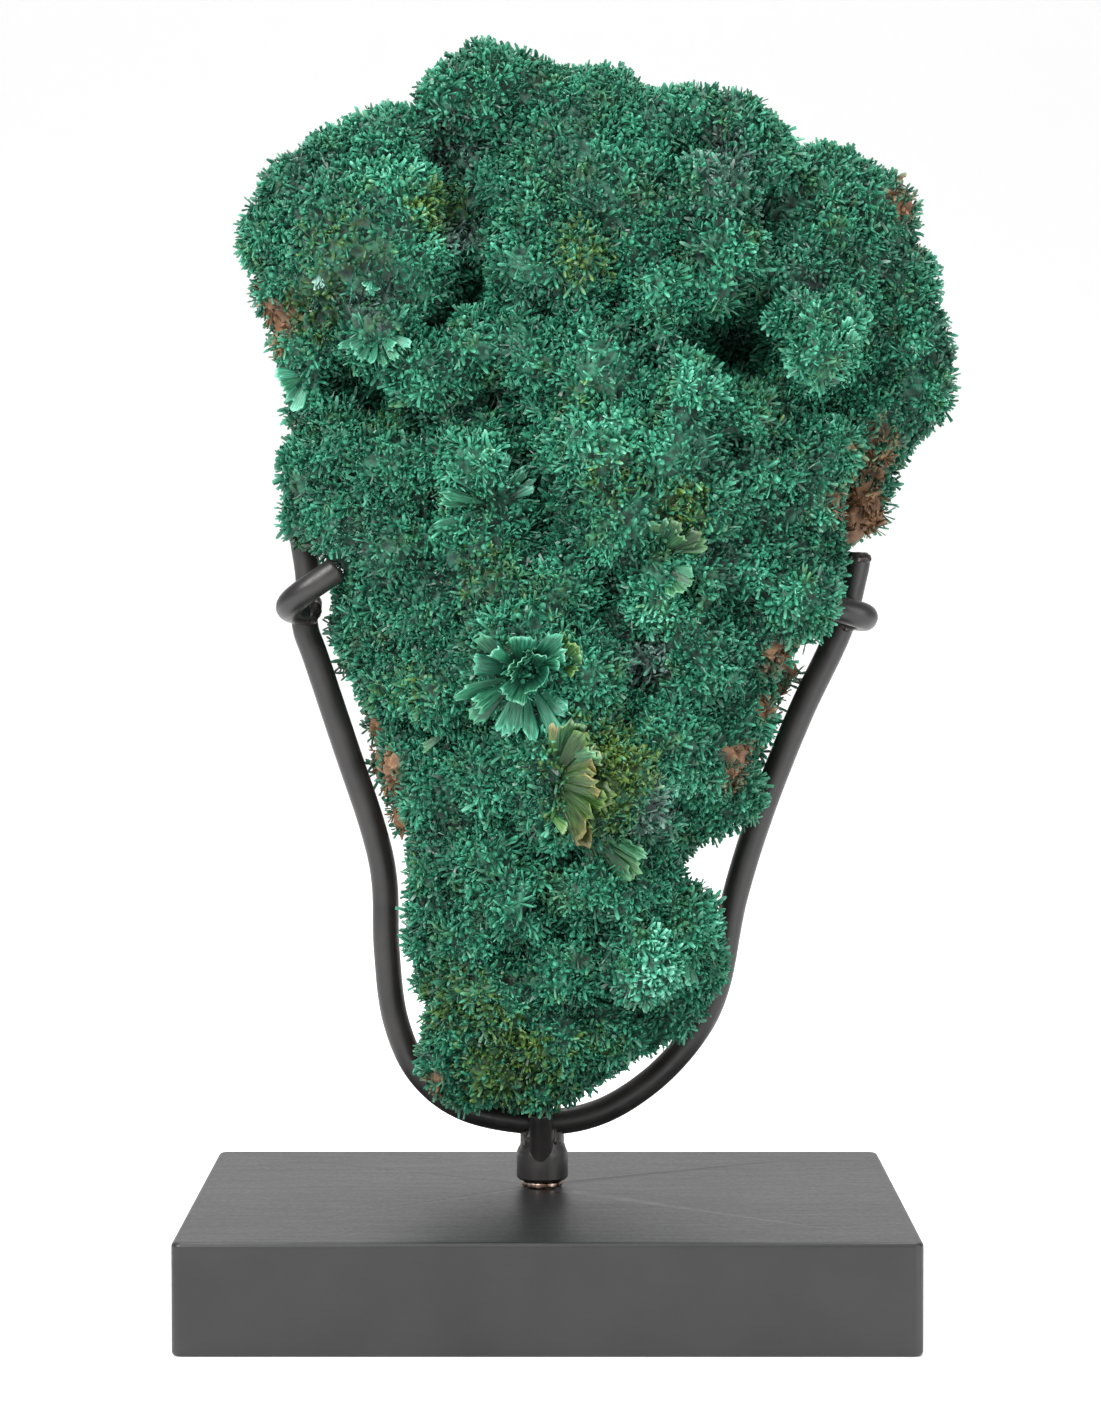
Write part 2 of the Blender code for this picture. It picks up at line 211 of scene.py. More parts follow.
def addSoftbox(name, place, size, power):
    data = bpy.data.lights.new(name, "AREA")
    data.size = size
    data.energy = power
    lamp = bpy.data.objects.new(name, data)
    lamp.location = place
    away = Vector(place) - Vector(studio["aim"])
    lamp.rotation_euler = away.to_track_quat("Z", "Y").to_euler()
    bpy.context.scene.collection.objects.link(lamp)


def setStudio():
    addSoftbox("key", studio["keyPlace"], studio["keySize"], studio["keyPower"])
    addSoftbox("fill", studio["fillPlace"], studio["fillSize"], studio["fillPower"])
    addSoftbox("top", studio["topPlace"], studio["topSize"], studio["topPower"])
    world = bpy.data.worlds.new("studio")
    world.use_nodes = True
    world.node_tree.nodes["Background"].inputs[0].default_value = (1, 1, 1, 1)
    world.node_tree.nodes["Background"].inputs[1].default_value = studio["world"]
    bpy.context.scene.world = world
    bpy.context.scene.view_settings.view_transform = "Standard"


sweep = {"halfWidth": 3.0, "front": -2.2, "wallStart": 1.4, "bend": 1.2, "height": 3.2, "steps": 24}


def setFloor():
    # A paper sweep: flat under the stand, then curving up behind it
    finish, tree, shader, place = startFinish("sweep_paper", 0.6)
    shader.inputs["Base Color"].default_value = (0.92, 0.92, 0.92, 1)
    shader.inputs["Emission Color"].default_value = (1, 1, 1, 1)
    shader.inputs["Emission Strength"].default_value = studio["floorGlow"]
    bm = bmesh.new()
    line = [(sweep["front"], 0.0)]
    for i in range(sweep["steps"] + 1):
        turn = math.pi / 2 * i / sweep["steps"]
        line.append((
            sweep["wallStart"] + sweep["bend"] * math.sin(turn),
            sweep["bend"] * (1 - math.cos(turn)),
        ))
    line.append((sweep["wallStart"] + sweep["bend"], sweep["height"]))
    rows = [
        [bm.verts.new((x, y, z)) for x in (-sweep["halfWidth"], sweep["halfWidth"])]
        for y, z in line
    ]
    for near, far in zip(rows, rows[1:]):
        bm.faces.new((near[0], near[1], far[1], far[0]))
    floor = newObject("floor", meshFrom(bm, "floor"), finish)
    floor.data.shade_smooth()


setCamera()
setStudio()
setFloor()
print("camera, lights and floor set")


# The rods, each along the middle line of its solid

rods = {
    "cradle_rod": {
        "radius": 3.0 * mm, "startChamfer": 0.45 * mm, "endChamfer": 0.45 * mm,
        "path": [
            (-56.8, 10, 178.0), (-55.8, 10, 172.3), (-54.7, 10, 164.0), (-55.6, 10, 157.8),
            (-55.3, 10, 152.6), (-52.9, 10, 145.8), (-46.2, 10, 125.6), (-40.1, 10, 107.3),
            (-37.5, 10, 95.0), (-37.0, 10, 79.0), (-35.0, 10, 63.0), (-29.2, 10, 50.4),
            (-18.4, 10, 42.4), (-1.5, 10, 39.5), (12.0, 10, 41.8), (24.4, 10, 49.6),
            (34.0, 10, 60.4), (39.0, 10, 71.5), (42.8, 10, 91.0), (48.9, 10, 111.0),
            (57.5, 10, 133.0), (66.5, 10, 152.3), (70.0, 10, 165.0), (70.9, 10, 170.3),
        ],
    },
    "left_claw": {
        "radius": 3.0 * mm, "startChamfer": 0.0, "endChamfer": 0.9 * mm,
        "path": [
            (-55.4, 9.5, 157.0), (-57.3, 4.0, 157.2), (-58.4, -0.6, 158.0), (-57.3, -4.0, 159.6),
            (-54.4, -5.7, 161.9), (-50.6, -6.0, 164.5), (-47.2, -5.6, 166.9),
        ],
    },
    "right_claw": {
        "radius": 3.0 * mm, "startChamfer": 0.0, "endChamfer": 0.9 * mm,
        "path": [
            (67.4, 9.5, 156.2), (70.2, 4.6, 155.7), (71.6, 0.4, 155.7), (70.6, -3.0, 156.3),
            (67.2, -4.6, 157.3), (62.6, -4.8, 158.6), (57.6, -4.2, 160.0),
        ],
    },
    "front_prong": {
        "radius": 2.75 * mm, "startChamfer": 0.0, "endChamfer": 0.45 * mm,
        "path": [(-1.5, 7.6, 29.6), (-1.7, 2.8, 43.0)],
    },
}
rodBuild = {"step": 1.2 * mm, "sides": 40}


def smoothPath(points, step):
    # Points about a step apart on the smooth curve through the given points
    ends = [points[0] * 2 - points[1], *points, points[-1] * 2 - points[-2]]
    path = []
    for before, start, stop, after in zip(ends, ends[1:], ends[2:], ends[3:]):
        slope = stop - before
        bend = 2 * before - 5 * start + 4 * stop - after
        twist = 3 * start - before - 3 * stop + after
        count = max(1, round((stop - start).length / step))
        for i in range(count):
            t = i / count
            path.append(start + (slope * t + bend * t**2 + twist * t**3) / 2)
    return [*path, points[-1]]


def rodPath(name, step):
    return smoothPath([Vector(p) * mm for p in rods[name]["path"]], step)


def rodTree():
    tree = bpy.data.node_groups.new("rod along path", "GeometryNodeTree")
    tree.interface.new_socket("Path", in_out="INPUT", socket_type="NodeSocketGeometry")
    tree.interface.new_socket("Radius", in_out="INPUT", socket_type="NodeSocketFloat")
    tree.interface.new_socket("Sides", in_out="INPUT", socket_type="NodeSocketInt")
    tree.interface.new_socket("Finish", in_out="INPUT", socket_type="NodeSocketMaterial")
    tree.interface.new_socket("Rod", in_out="OUTPUT", socket_type="NodeSocketGeometry")
    given = tree.nodes.new("NodeGroupInput").outputs
    ring = addNode(
        tree, "GeometryNodeCurvePrimitiveCircle",
        {"Resolution": given["Sides"], "Radius": given["Radius"]},
    )
    share = addNode(tree, "GeometryNodeInputRadius").outputs[0]
    swept = addNode(
        tree, "GeometryNodeCurveToMesh",
        {"Curve": given["Path"], "Profile Curve": ring.outputs["Curve"], "Fill Caps": True},
    )
    if "Scale" in swept.inputs:
        tree.links.new(share, swept.inputs["Scale"])
    smooth = addNode(tree, "GeometryNodeSetShadeSmooth", {"Geometry": swept.outputs["Mesh"]})
    real = addNode(tree, "GeometryNodeRealizeInstances", {0: smooth.outputs[0]})
    dressed = addNode(
        tree, "GeometryNodeSetMaterial", {"Geometry": real.outputs[0], "Material": given["Finish"]}
    )
    done = tree.nodes.new("NodeGroupOutput")
    tree.links.new(dressed.outputs[0], done.inputs["Rod"])
    return tree


def setInputs(modifier, tree, values):
    for item in tree.interface.items_tree:
        if item.item_type == "SOCKET" and item.in_out == "INPUT" and item.name in values:
            modifier[item.identifier] = values[item.name]


def roundedEnds(path, radius, startWidth, endWidth):
    # The path with the share of the radius at each point, rounded off towards its ends
    points = [(p, 1.0) for p in path]
    for width, atStart in ((startWidth, True), (endWidth, False)):
        if not width:
            continue
        tip, inner = (path[0], path[1]) if atStart else (path[-1], path[-2])
        along = (inner - tip).normalized()
        arc = []
        for i in range(5):
            turn = math.pi / 2 * i / 4
            inset = width * (1 - math.sin(turn))
            arc.append((tip + along * inset, 1 - width * (1 - math.cos(turn)) / radius))
        # arc[0] is the shoulder, arc[-1] the flat tip
        if atStart:
            points[0:1] = list(reversed(arc))
        else:
            points[-1:] = arc
    return points


def outwards(mesh):
    # Turns the faces round if the closed mesh came out inside out
    bm = bmesh.new()
    bm.from_mesh(mesh)
    bmesh.ops.remove_doubles(bm, verts=bm.verts, dist=0.001 * mm)
    if bm.calc_volume(signed=True) < 0:
        bmesh.ops.reverse_faces(bm, faces=bm.faces)
    bm.to_mesh(mesh)
    bm.free()


def buildRods(finish):
    tree = rodTree()
    made = {}
    for name, rod in rods.items():
        path = rodPath(name, rodBuild["step"])
        points = roundedEnds(path, rod["radius"], rod["startChamfer"], rod["endChamfer"])
        curve = bpy.data.curves.new(name + "_path", "CURVE")
        curve.dimensions = "3D"
        spline = curve.splines.new("POLY")
        spline.points.add(len(points) - 1)
        for knot, (place, share) in zip(spline.points, points):
            knot.co = (*place, 1.0)
            knot.radius = share
        guide = bpy.data.objects.new(name + "_path", curve)
        bpy.context.scene.collection.objects.link(guide)
        modifier = guide.modifiers.new("rod", "NODES")
        modifier.node_group = tree
        setInputs(modifier, tree, {
            "Radius": rod["radius"], "Sides": rodBuild["sides"], "Finish": finish,
        })
        graph = bpy.context.evaluated_depsgraph_get()
        mesh = bpy.data.meshes.new_from_object(guide.evaluated_get(graph))
        bpy.data.objects.remove(guide, do_unlink=True)
        outwards(mesh)
        piece = newObject("steel_" + name, mesh, finish)
        mesh.shade_smooth()
        mesh.set_sharp_from_angle(angle=math.radians(50))
        made[name] = piece
    return made


# Finishes of the stand

def blackRodFinish():
    finish, tree, shader, place = startFinish("satin_black_rod", 0.36)
    grain = noisy(tree, place, 0.9 * mm, 3)
    patch = noisy(tree, place, 9 * mm, 2)
    colour = ramped(tree, patch, [(0.3, (0.011, 0.010, 0.010)), (0.75, (0.024, 0.022, 0.021))])
    tree.links.new(colour, shader.inputs["Base Color"])
    rough = remapped(tree, maths(tree, "ADD", grain, patch), 0.7, 1.3, 0.30, 0.50)
    tree.links.new(rough, shader.inputs["Roughness"])
    bumped(tree, shader, grain, 0.25, 0.05 * mm)
    return finish


def blackPaintFinish():
    finish, tree, shader, place = startFinish("black_paint", 0.42)
    peel = noisy(tree, place, 1.1 * mm, 3, 0.6)
    cloud = noisy(tree, place, 28 * mm, 3)
    stretched = addNode(tree, "ShaderNodeMapping", {"Vector": place, "Scale": (0.08, 1, 1)})
    brushed = noisy(tree, stretched.outputs[0], 1.4 * mm, 2)
    colour = ramped(tree, cloud, [(0.3, (0.0105, 0.0105, 0.011)), (0.7, (0.019, 0.019, 0.0195))])
    tree.links.new(colour, shader.inputs["Base Color"])
    both = maths(tree, "ADD", maths(tree, "MULTIPLY", peel, 0.6), maths(tree, "MULTIPLY", brushed, 0.4))
    rough = remapped(tree, both, 0.3, 0.7, 0.36, 0.50)
    tree.links.new(rough, shader.inputs["Roughness"])
    bumped(tree, shader, both, 0.22, 0.06 * mm)
    return finish


def bareSteelFinish():
    finish, tree, shader, place = startFinish("bare_steel", 0.34, 1.0)
    patch = noisy(tree, place, 1.6 * mm, 3)
    colour = ramped(tree, patch, [
        (0.32, (0.03, 0.026, 0.024)), (0.5, (0.30, 0.19, 0.13)), (0.66, (0.62, 0.58, 0.54)),
    ])
    tree.links.new(colour, shader.inputs["Base Color"])
    bumped(tree, shader, noisy(tree, place, 0.6 * mm), 0.4, 0.06 * mm)
    return finish


def weldFinish():
    finish, tree, shader, place = startFinish("weld_bead", 0.38, 0.6)
    patch = noisy(tree, place, 1.3 * mm, 4, 0.65)
    colour = ramped(tree, patch, [
        (0.35, (0.012, 0.011, 0.011)), (0.55, (0.045, 0.038, 0.034)), (0.72, (0.17, 0.15, 0.14)),
    ])
    tree.links.new(colour, shader.inputs["Base Color"])
    rough = remapped(tree, patch, 0.3, 0.7, 0.5, 0.28)
    tree.links.new(rough, shader.inputs["Roughness"])
    bumped(tree, shader, noisy(tree, place, 0.5 * mm, 4), 0.6, 0.12 * mm)
    return finish


# The block, its post and the sleeve

stem = {
    "x": -1.3 * mm, "y": 10 * mm, "sides": 72,
    "pegRadius": 3.5 * mm, "pegTop": 33.5 * mm, "stubRadius": 3.0 * mm, "stubDepth": 11 * mm,
    "footRadius": 4.7 * mm, "footHeight": 1.2 * mm, "gap": 0.3 * mm,
    "collarRadius": 5.9 * mm, "collarHeight": 5.6 * mm, "collarChamfer": 0.6 * mm,
    "neckRadius": 5.0 * mm, "neckTop": 37.6 * mm, "shoulder": 1.6 * mm, "weldHeight": 3.6 * mm,
}


def turnedMesh(name, profile, finish, ripple=0.0, rippleFrom=0.0):
    # A closed solid turned about the stem from (radius, height) points
    bm = bmesh.new()
    around = []
    for i in range(stem["sides"]):
        turn = 2 * math.pi * i / stem["sides"]
        ring = []
        for radius, height in profile:
            if radius > 0 and height > rippleFrom:
                lump = noise.noise(Vector((math.cos(turn) * 2.2, math.sin(turn) * 2.2, height / mm)))
                radius += ripple * lump
            ring.append(bm.verts.new((
                stem["x"] + radius * math.cos(turn), stem["y"] + radius * math.sin(turn), height,
            )))
        around.append(ring)
    for ring, following in zip(around, around[1:] + around[:1]):
        for i in range(len(profile)):
            j = (i + 1) % len(profile)
            bm.faces.new((ring[i], following[i], following[j], ring[j]))
    bmesh.ops.remove_doubles(bm, verts=bm.verts, dist=0.001 * mm)
    bmesh.ops.dissolve_degenerate(bm, edges=bm.edges, dist=0.001 * mm)
    bmesh.ops.recalc_face_normals(bm, faces=bm.faces)
    if bm.calc_volume(signed=True) < 0:
        bmesh.ops.reverse_faces(bm, faces=bm.faces)
    piece = newObject(name, meshFrom(bm, name), finish)
    piece.data.shade_smooth()
    piece.data.set_sharp_from_angle(angle=math.radians(40))
    return piece


def roundedCorner(before, corner, after, radius, steps=4):
    # The corner of an outline as a short arc
    a, b, c = Vector(before), Vector(corner), Vector(after)
    start = b + (a - b).normalized() * radius
    stop = b + (c - b).normalized() * radius
    arc = []
    for i in range(steps + 1):
        t = i / steps
        arc.append(tuple(start * (1 - t) ** 2 + b * 2 * t * (1 - t) + stop * t**2))
    return arc


def buildStem(blackFinish, bareFinish):
    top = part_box("base_block")[1][2]
    foot = top + stem["gap"]
    footTop = foot + stem["footHeight"]
    post = [
        (0, top - stem["stubDepth"]), (stem["stubRadius"], top - stem["stubDepth"]),
        (stem["stubRadius"], foot),
        *roundedCorner((0, foot), (stem["footRadius"], foot), (stem["footRadius"], footTop), 0.35 * mm),
        *roundedCorner(
            (stem["footRadius"], foot), (stem["footRadius"], footTop), (0, footTop), 0.5 * mm
        ),
        (stem["pegRadius"], footTop), (stem["pegRadius"], stem["pegTop"]), (0, stem["pegTop"]),
    ]
    postPiece = turnedMesh("peg_and_foot_ring", post, bareFinish)
    low = foot + stem["footHeight"] + stem["gap"]
    high = low + stem["collarHeight"]
    wide, neck = stem["collarRadius"], stem["neckRadius"]
    mound = []
    for i in range(9):
        t = i / 8
        ease = t * t * (3 - 2 * t)
        mound.append((wide + (neck - wide) * ease, high + stem["weldHeight"] * t))
    outline = [
        (wide - stem["collarChamfer"], low), (wide, low + stem["collarChamfer"]),
        (wide, (low + high) / 2), *mound, (neck, stem["neckTop"]),
    ]
    bore = stem["pegRadius"] + stem["gap"]
    roof = stem["pegTop"] + stem["gap"]
    inside = [(0, stem["neckTop"]), (0, roof), (bore, roof), (bore, low)]
    collarPiece = turnedMesh(
        "sleeve", outline + inside, blackFinish, ripple=0.22 * mm, rippleFrom=high - 0.1 * mm
    )
    return postPiece, collarPiece


def buildBlock(finish):
    block = mergedCopy("base_block", "painted_block")
    block.data.materials.clear()
    block.data.materials.append(finish)
    block.data.shade_smooth()
    block.data.set_sharp_from_angle(angle=math.radians(38))
    even = block.modifiers.new("even shading", "WEIGHTED_NORMAL")
    even.keep_sharp = True
    even.weight = 100
    return bakedDown(block)


# Welds: lumpy beads where the short rods meet the arms and the sleeve

welds = {
    "left_claw_weld": {"at": (-55.2, 7.8, 157.6), "size": (3.7, 3.4, 3.9), "turn": 20, "seed": 3},
    "right_claw_weld": {"at": (67.9, 8.0, 156.6), "size": (3.8, 3.4, 4.2), "turn": -20, "seed": 8},
    "prong_weld_left": {"at": (-4.2, 7.9, 35.6), "size": (1.5, 2.2, 3.4), "turn": 8, "seed": 12},
    "prong_weld_right": {"at": (1.4, 7.9, 35.8), "size": (1.4, 2.2, 3.6), "turn": -8, "seed": 15},
    "arm_tip_specks": {"at": (70.7, 9.4, 169.0), "size": (3.1, 3.1, 1.5), "turn": 0, "seed": 21},
}


def buildWelds(finish):
    pieces = []
    for name, weld in welds.items():
        bm = bmesh.new()
        bmesh.ops.create_icosphere(bm, subdivisions=4, radius=1.0)
        turn = Matrix.Rotation(math.radians(weld["turn"]), 4, "Y")
        for vert in bm.verts:
            lump = noise.fractal(vert.co * 1.9 + Vector((weld["seed"], 0, 0)), 0.8, 2.0, 3)
            vert.co = vert.co * (1 + 0.16 * lump)
            vert.co = Vector(c * s * mm for c, s in zip(vert.co, weld["size"]))
        bmesh.ops.transform(bm, matrix=Matrix.Translation(Vector(weld["at"]) * mm) @ turn, verts=bm.verts)
        piece = newObject(name, meshFrom(bm, name), finish)
        piece.data.shade_smooth()
        pieces.append(piece)
    return pieces


blackRod = blackRodFinish()
blackPaint = blackPaintFinish()
bareSteel = bareSteelFinish()
weldMetal = weldFinish()

block = buildBlock(blackPaint)
post, sleeve = buildStem(blackRod, bareSteel)
rodPieces = buildRods(blackRod)
weldPieces = buildWelds(weldMetal)

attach(block, rootBody)
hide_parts("base_block")
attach(post, rootBody)
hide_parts("base_post")
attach(sleeve, rootBody)
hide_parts("collar")
for rodName, piece in rodPieces.items():
    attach(piece, rootBody)
    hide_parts(rodName)
for piece in weldPieces:
    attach(piece, rootBody)
print("stand built")


# The specimen's bed: the skin that the crystals stand on

bedBuild = {
    "inset": 1.5 * mm, "voxel": 0.95 * mm, "softening": 2,
    "lumpSize": 5.0 * mm, "lumpHeight": 0.55 * mm,
    "cavityRounds": 24, "cavityDepth": 1.6 * mm,
    "rodClearance": 1.0 * mm, "rodFade": 0.9 * mm,
}


def readVectors(items, name):
    values = np.empty(len(items) * 3, dtype=np.float32)
    items.foreach_get(name, values)
    return values.reshape(-1, 3).astype(float)


def writeVertices(mesh, places):
    mesh.vertices.foreach_set("co", places.astype(np.float32).ravel())
    mesh.update()


def storeValues(mesh, name, values):
    layer = mesh.attributes.new(name, "FLOAT", "POINT")
    layer.data.foreach_set("value", np.asarray(values, dtype=np.float32))


def noiseAt(places, size, roughness=0.9, octaves=3, shift=0.0):
    move = Vector((shift, shift, shift))
    return np.array([
        noise.fractal(Vector(p) / size + move, roughness, 2.0, octaves) for p in places
    ])


def buildBed():
    bed = mergedCopy("malachite", "malachite_bed")
    shrink = bed.modifiers.new("inset", "DISPLACE")
    shrink.strength = -bedBuild["inset"]
    shrink.mid_level = 0
    skin = bed.modifiers.new("skin", "REMESH")
    skin.mode = "VOXEL"
    skin.voxel_size = bedBuild["voxel"]
    soften = bed.modifiers.new("soften", "SMOOTH")
    soften.iterations = bedBuild["softening"]
    bakedDown(bed)
    mesh = bed.data
    places = readVectors(mesh.vertices, "co")
    normals = readVectors(mesh.vertex_normals, "vector")
    lumps = noiseAt(places, bedBuild["lumpSize"])
    writeVertices(mesh, places + normals * lumps[:, None] * bedBuild["lumpHeight"])
    return bed


def smoothedOver(mesh, values, rounds):
    # Averages values over neighbouring vertices, a number of rounds
    ends = np.empty(len(mesh.edges) * 2, dtype=np.int32)
    mesh.edges.foreach_get("vertices", ends)
    ends = ends.reshape(-1, 2)
    count = np.bincount(ends.ravel(), minlength=len(mesh.vertices)).clip(1)
    values = values.astype(float)
    for _ in range(rounds):
        total = np.zeros_like(values)
        for k in range(values.shape[1]):
            total[:, k] += np.bincount(ends[:, 0], values[ends[:, 1], k], len(values))
            total[:, k] += np.bincount(ends[:, 1], values[ends[:, 0], k], len(values))
        values = values * 0.4 + total / count[:, None] * 0.6
    return values


# Named patches on the front, as (across, up, radius, strength) in millimetres

patches = {
    "matrix": [
        (-61, 222, 5, 0.8), (-61, 215, 4, 0.7), (-62, 227, 3, 0.9), (-41, 128, 5, 0.9),
        (-38, 118, 6, 1.0), (-35, 108, 6, 1.0), (68, 262, 5, 0.5), (80, 251, 6, 0.7),
        (85, 240, 5, 0.5), (72, 190, 6, 0.8), (70, 180, 7, 1.0), (76, 197, 4, 0.6),
        (54, 146, 6, 0.9), (52, 138, 5, 0.9), (43, 126, 4, 0.9), (40, 121, 3, 0.8),
        (-25, 50, 4, 0.6), (50, 190, 3, 0.5), (60, 190, 4, 0.4),
    ],
    "olive": [
        (-46, 238, 12, 0.5), (-52, 225, 9, 0.6), (-24, 246, 9, 0.7), (8, 236, 9, 0.6),
        (22, 250, 8, 0.4), (16, 186, 9, 0.5), (30, 180, 8, 0.7), (50, 205, 9, 0.4),
        (-15, 165, 10, 0.5), (-30, 140, 9, 0.5), (0, 160, 8, 0.4), (12, 122, 14, 0.8),
        (-20, 70, 12, 0.6), (-8, 56, 14, 0.7), (10, 60, 8, 0.5), (-31, 100, 6, 0.5),
        (64, 246, 8, 0.4), (-36, 200, 6, 0.5), (10, 205, 7, 0.4),
    ],
    # Painted sheen: places where the silky fibres catch the light, made lighter in the crystals' colour
    "silk": [
        (-28, 244, 9, 0.6), (-36, 254, 9, 0.5), (-14, 222, 6, 0.5), (12, 200, 10, 0.9),
        (20, 190, 10, 0.9), (36, 206, 7, 0.8), (-14, 186, 9, 0.7), (-22, 178, 7, 0.5),
        (32, 232, 10, 0.4), (64, 214, 7, 0.8), (4, 212, 7, 0.6), (30, 120, 7, 0.9),
        (25, 80, 8, 1.0), (0, 146, 10, 0.6), (24, 160, 8, 0.5), (48, 165, 9, 0.5),
        (18, 132, 6, 0.8), (-10, 100, 8, 0.4), (36, 90, 6, 0.5), (14, 258, 8, 0.4),
    ],
    "dusk": [
        (-22, 262, 9, 0.6), (-20, 240, 6, 0.7), (40, 258, 9, 0.6), (36, 246, 7, 0.5),
        (-38, 224, 7, 0.6), (22, 147, 7, 0.7), (24, 114, 6, 0.7), (-6, 186, 6, 0.5),
        (40, 170, 8, 0.4), (-44, 176, 7, 0.5), (20, 72, 7, 0.5), (58, 232, 8, 0.5),
    ],
}
patchEdge = {"wobble": 4.5 * mm, "wobbleSize": 6 * mm}


def patchStrength(kind, places, wobble):
    found = np.zeros(len(places))
    for x, z, radius, strength in patches[kind]:
        away = np.hypot(places[:, 0] - x * mm, places[:, 2] - z * mm) + wobble
        found = np.maximum(found, strength * np.clip(1.5 - away / (radius * mm), 0, 1))
    return found


def rodDistance(places):
    nearest = np.full(len(places), 1.0)
    for name, rod in rods.items():
        path = np.array([tuple(p) for p in rodPath(name, 2 * mm)])
        for start, stop in zip(path, path[1:]):
            line = stop - start
            share = np.clip((places - start) @ line / (line @ line), 0, 1)
            gap = np.linalg.norm(places - start - share[:, None] * line, axis=1)
            nearest = np.minimum(nearest, gap - rod["radius"])
    return nearest


def markBed(bed):
    # Stores what grows where: cover for crystals, tints for their colours, painted shade in the crevices and
    # painted sheen on the silky patches
    mesh = bed.data
    places = readVectors(mesh.vertices, "co")
    normals = readVectors(mesh.vertex_normals, "vector")
    smooth = smoothedOver(mesh, places, bedBuild["cavityRounds"])
    # Painted shade: how far each point lies down in a hollow, kept to darken the crystals and the skin there
    cavity = ((places - smooth) * normals).sum(1) / bedBuild["cavityDepth"]
    broad = smoothedOver(mesh, normals, 10)
    broad /= np.linalg.norm(broad, axis=1, keepdims=True)
    wobble = noiseAt(places, patchEdge["wobbleSize"]) * patchEdge["wobble"]
    facing = np.clip(0.5 - broad[:, 1] * 1.4, 0, 1)
    behind = np.clip((broad[:, 1] - 0.25) * 2.2 + wobble / patchEdge["wobble"] * 0.5, 0, 1)
    matrix = np.maximum(patchStrength("matrix", places, wobble) * facing, behind)
    storeValues(mesh, "cavity", np.clip(0.5 + cavity * 0.5, 0, 1))
    storeValues(mesh, "matrix", matrix)
    for kind in ("olive", "silk", "dusk"):
        storeValues(mesh, kind, patchStrength(kind, places, wobble) * facing)
    clear = np.clip((rodDistance(places) - bedBuild["rodClearance"]) / bedBuild["rodFade"], 0, 1)
    front = np.clip(1 - behind * 2, 0, 1) * np.clip(1.25 - matrix, 0, 1)
    storeValues(mesh, "frontCover", front * clear)
    storeValues(mesh, "backCover", (behind > 0.3) * clear * np.clip(noiseAt(places, 16 * mm, shift=7) + 0.25, 0, 1))
    storeValues(mesh, "grow", 0.55 + 0.45 * clear)
    return places, normals


bed = buildBed()
markBed(bed)
print("bed built:", len(bed.data.polygons), "faces")


# Crystals: small shapes grown over the bed by one node tree

def spikeShape(bm, layers, root, tip, wide, thick, sides, outline, cell, spin=0.0):
    # One closed crystal from root to tip, its outline as (share of length, share of width)
    riseLayer, mapLayer = layers
    axis = tip - root
    up = axis.normalized()
    side = up.orthogonal().normalized()
    side.rotate(Matrix.Rotation(spin, 3, up))
    cross = up.cross(side)
    rings = []
    for share, width in outline:
        ring = []
        for k in range(sides):
            turn = 2 * math.pi * (k + 0.5) / sides
            offset = side * (math.cos(turn) * wide / 2) + cross * (math.sin(turn) * thick / 2)
            vert = bm.verts.new(root + axis * share + offset * width)
            vert[riseLayer] = max(0.0, (root + axis * share).z)
            ring.append(vert)
        rings.append(ring)
    x0, y0, size = cell
    faces = []
    for i in range(len(rings) - 1):
        for k in range(sides):
            after = (k + 1) % sides
            face = bm.faces.new((rings[i][k], rings[i][after], rings[i + 1][after], rings[i + 1][k]))
            corners = ((k, i), (k + 1, i), (k + 1, i + 1), (k, i + 1))
            for loop, (column, row) in zip(face.loops, corners):
                loop[mapLayer].uv = (
                    x0 + size * column / sides, y0 + size * (0.1 + 0.8 * outline[row][0])
                )
            faces.append(face)
    for ring, row, turnBack in ((rings[0], 0.0, True), (rings[-1], 1.0, False)):
        face = bm.faces.new(list(reversed(ring)) if turnBack else ring)
        for k, loop in enumerate(face.loops):
            turn = 2 * math.pi * k / sides
            loop[mapLayer].uv = (
                x0 + size * (0.5 + 0.4 * math.cos(turn)),
                y0 + size * (0.05 + 0.9 * row + 0.05 * math.sin(turn)),
            )


rodOutline = [(0.0, 0.75), (0.82, 1.0), (1.0, 0.45)]
bladeOutline = [(0.0, 0.55), (0.7, 1.0), (1.0, 0.5)]
wedgeOutline = [(0.0, 0.35), (1.0, 1.0)]
beadOutline = [(0.0, 0.5), (0.45, 0.8), (0.75, 1.0), (1.0, 0.5)]


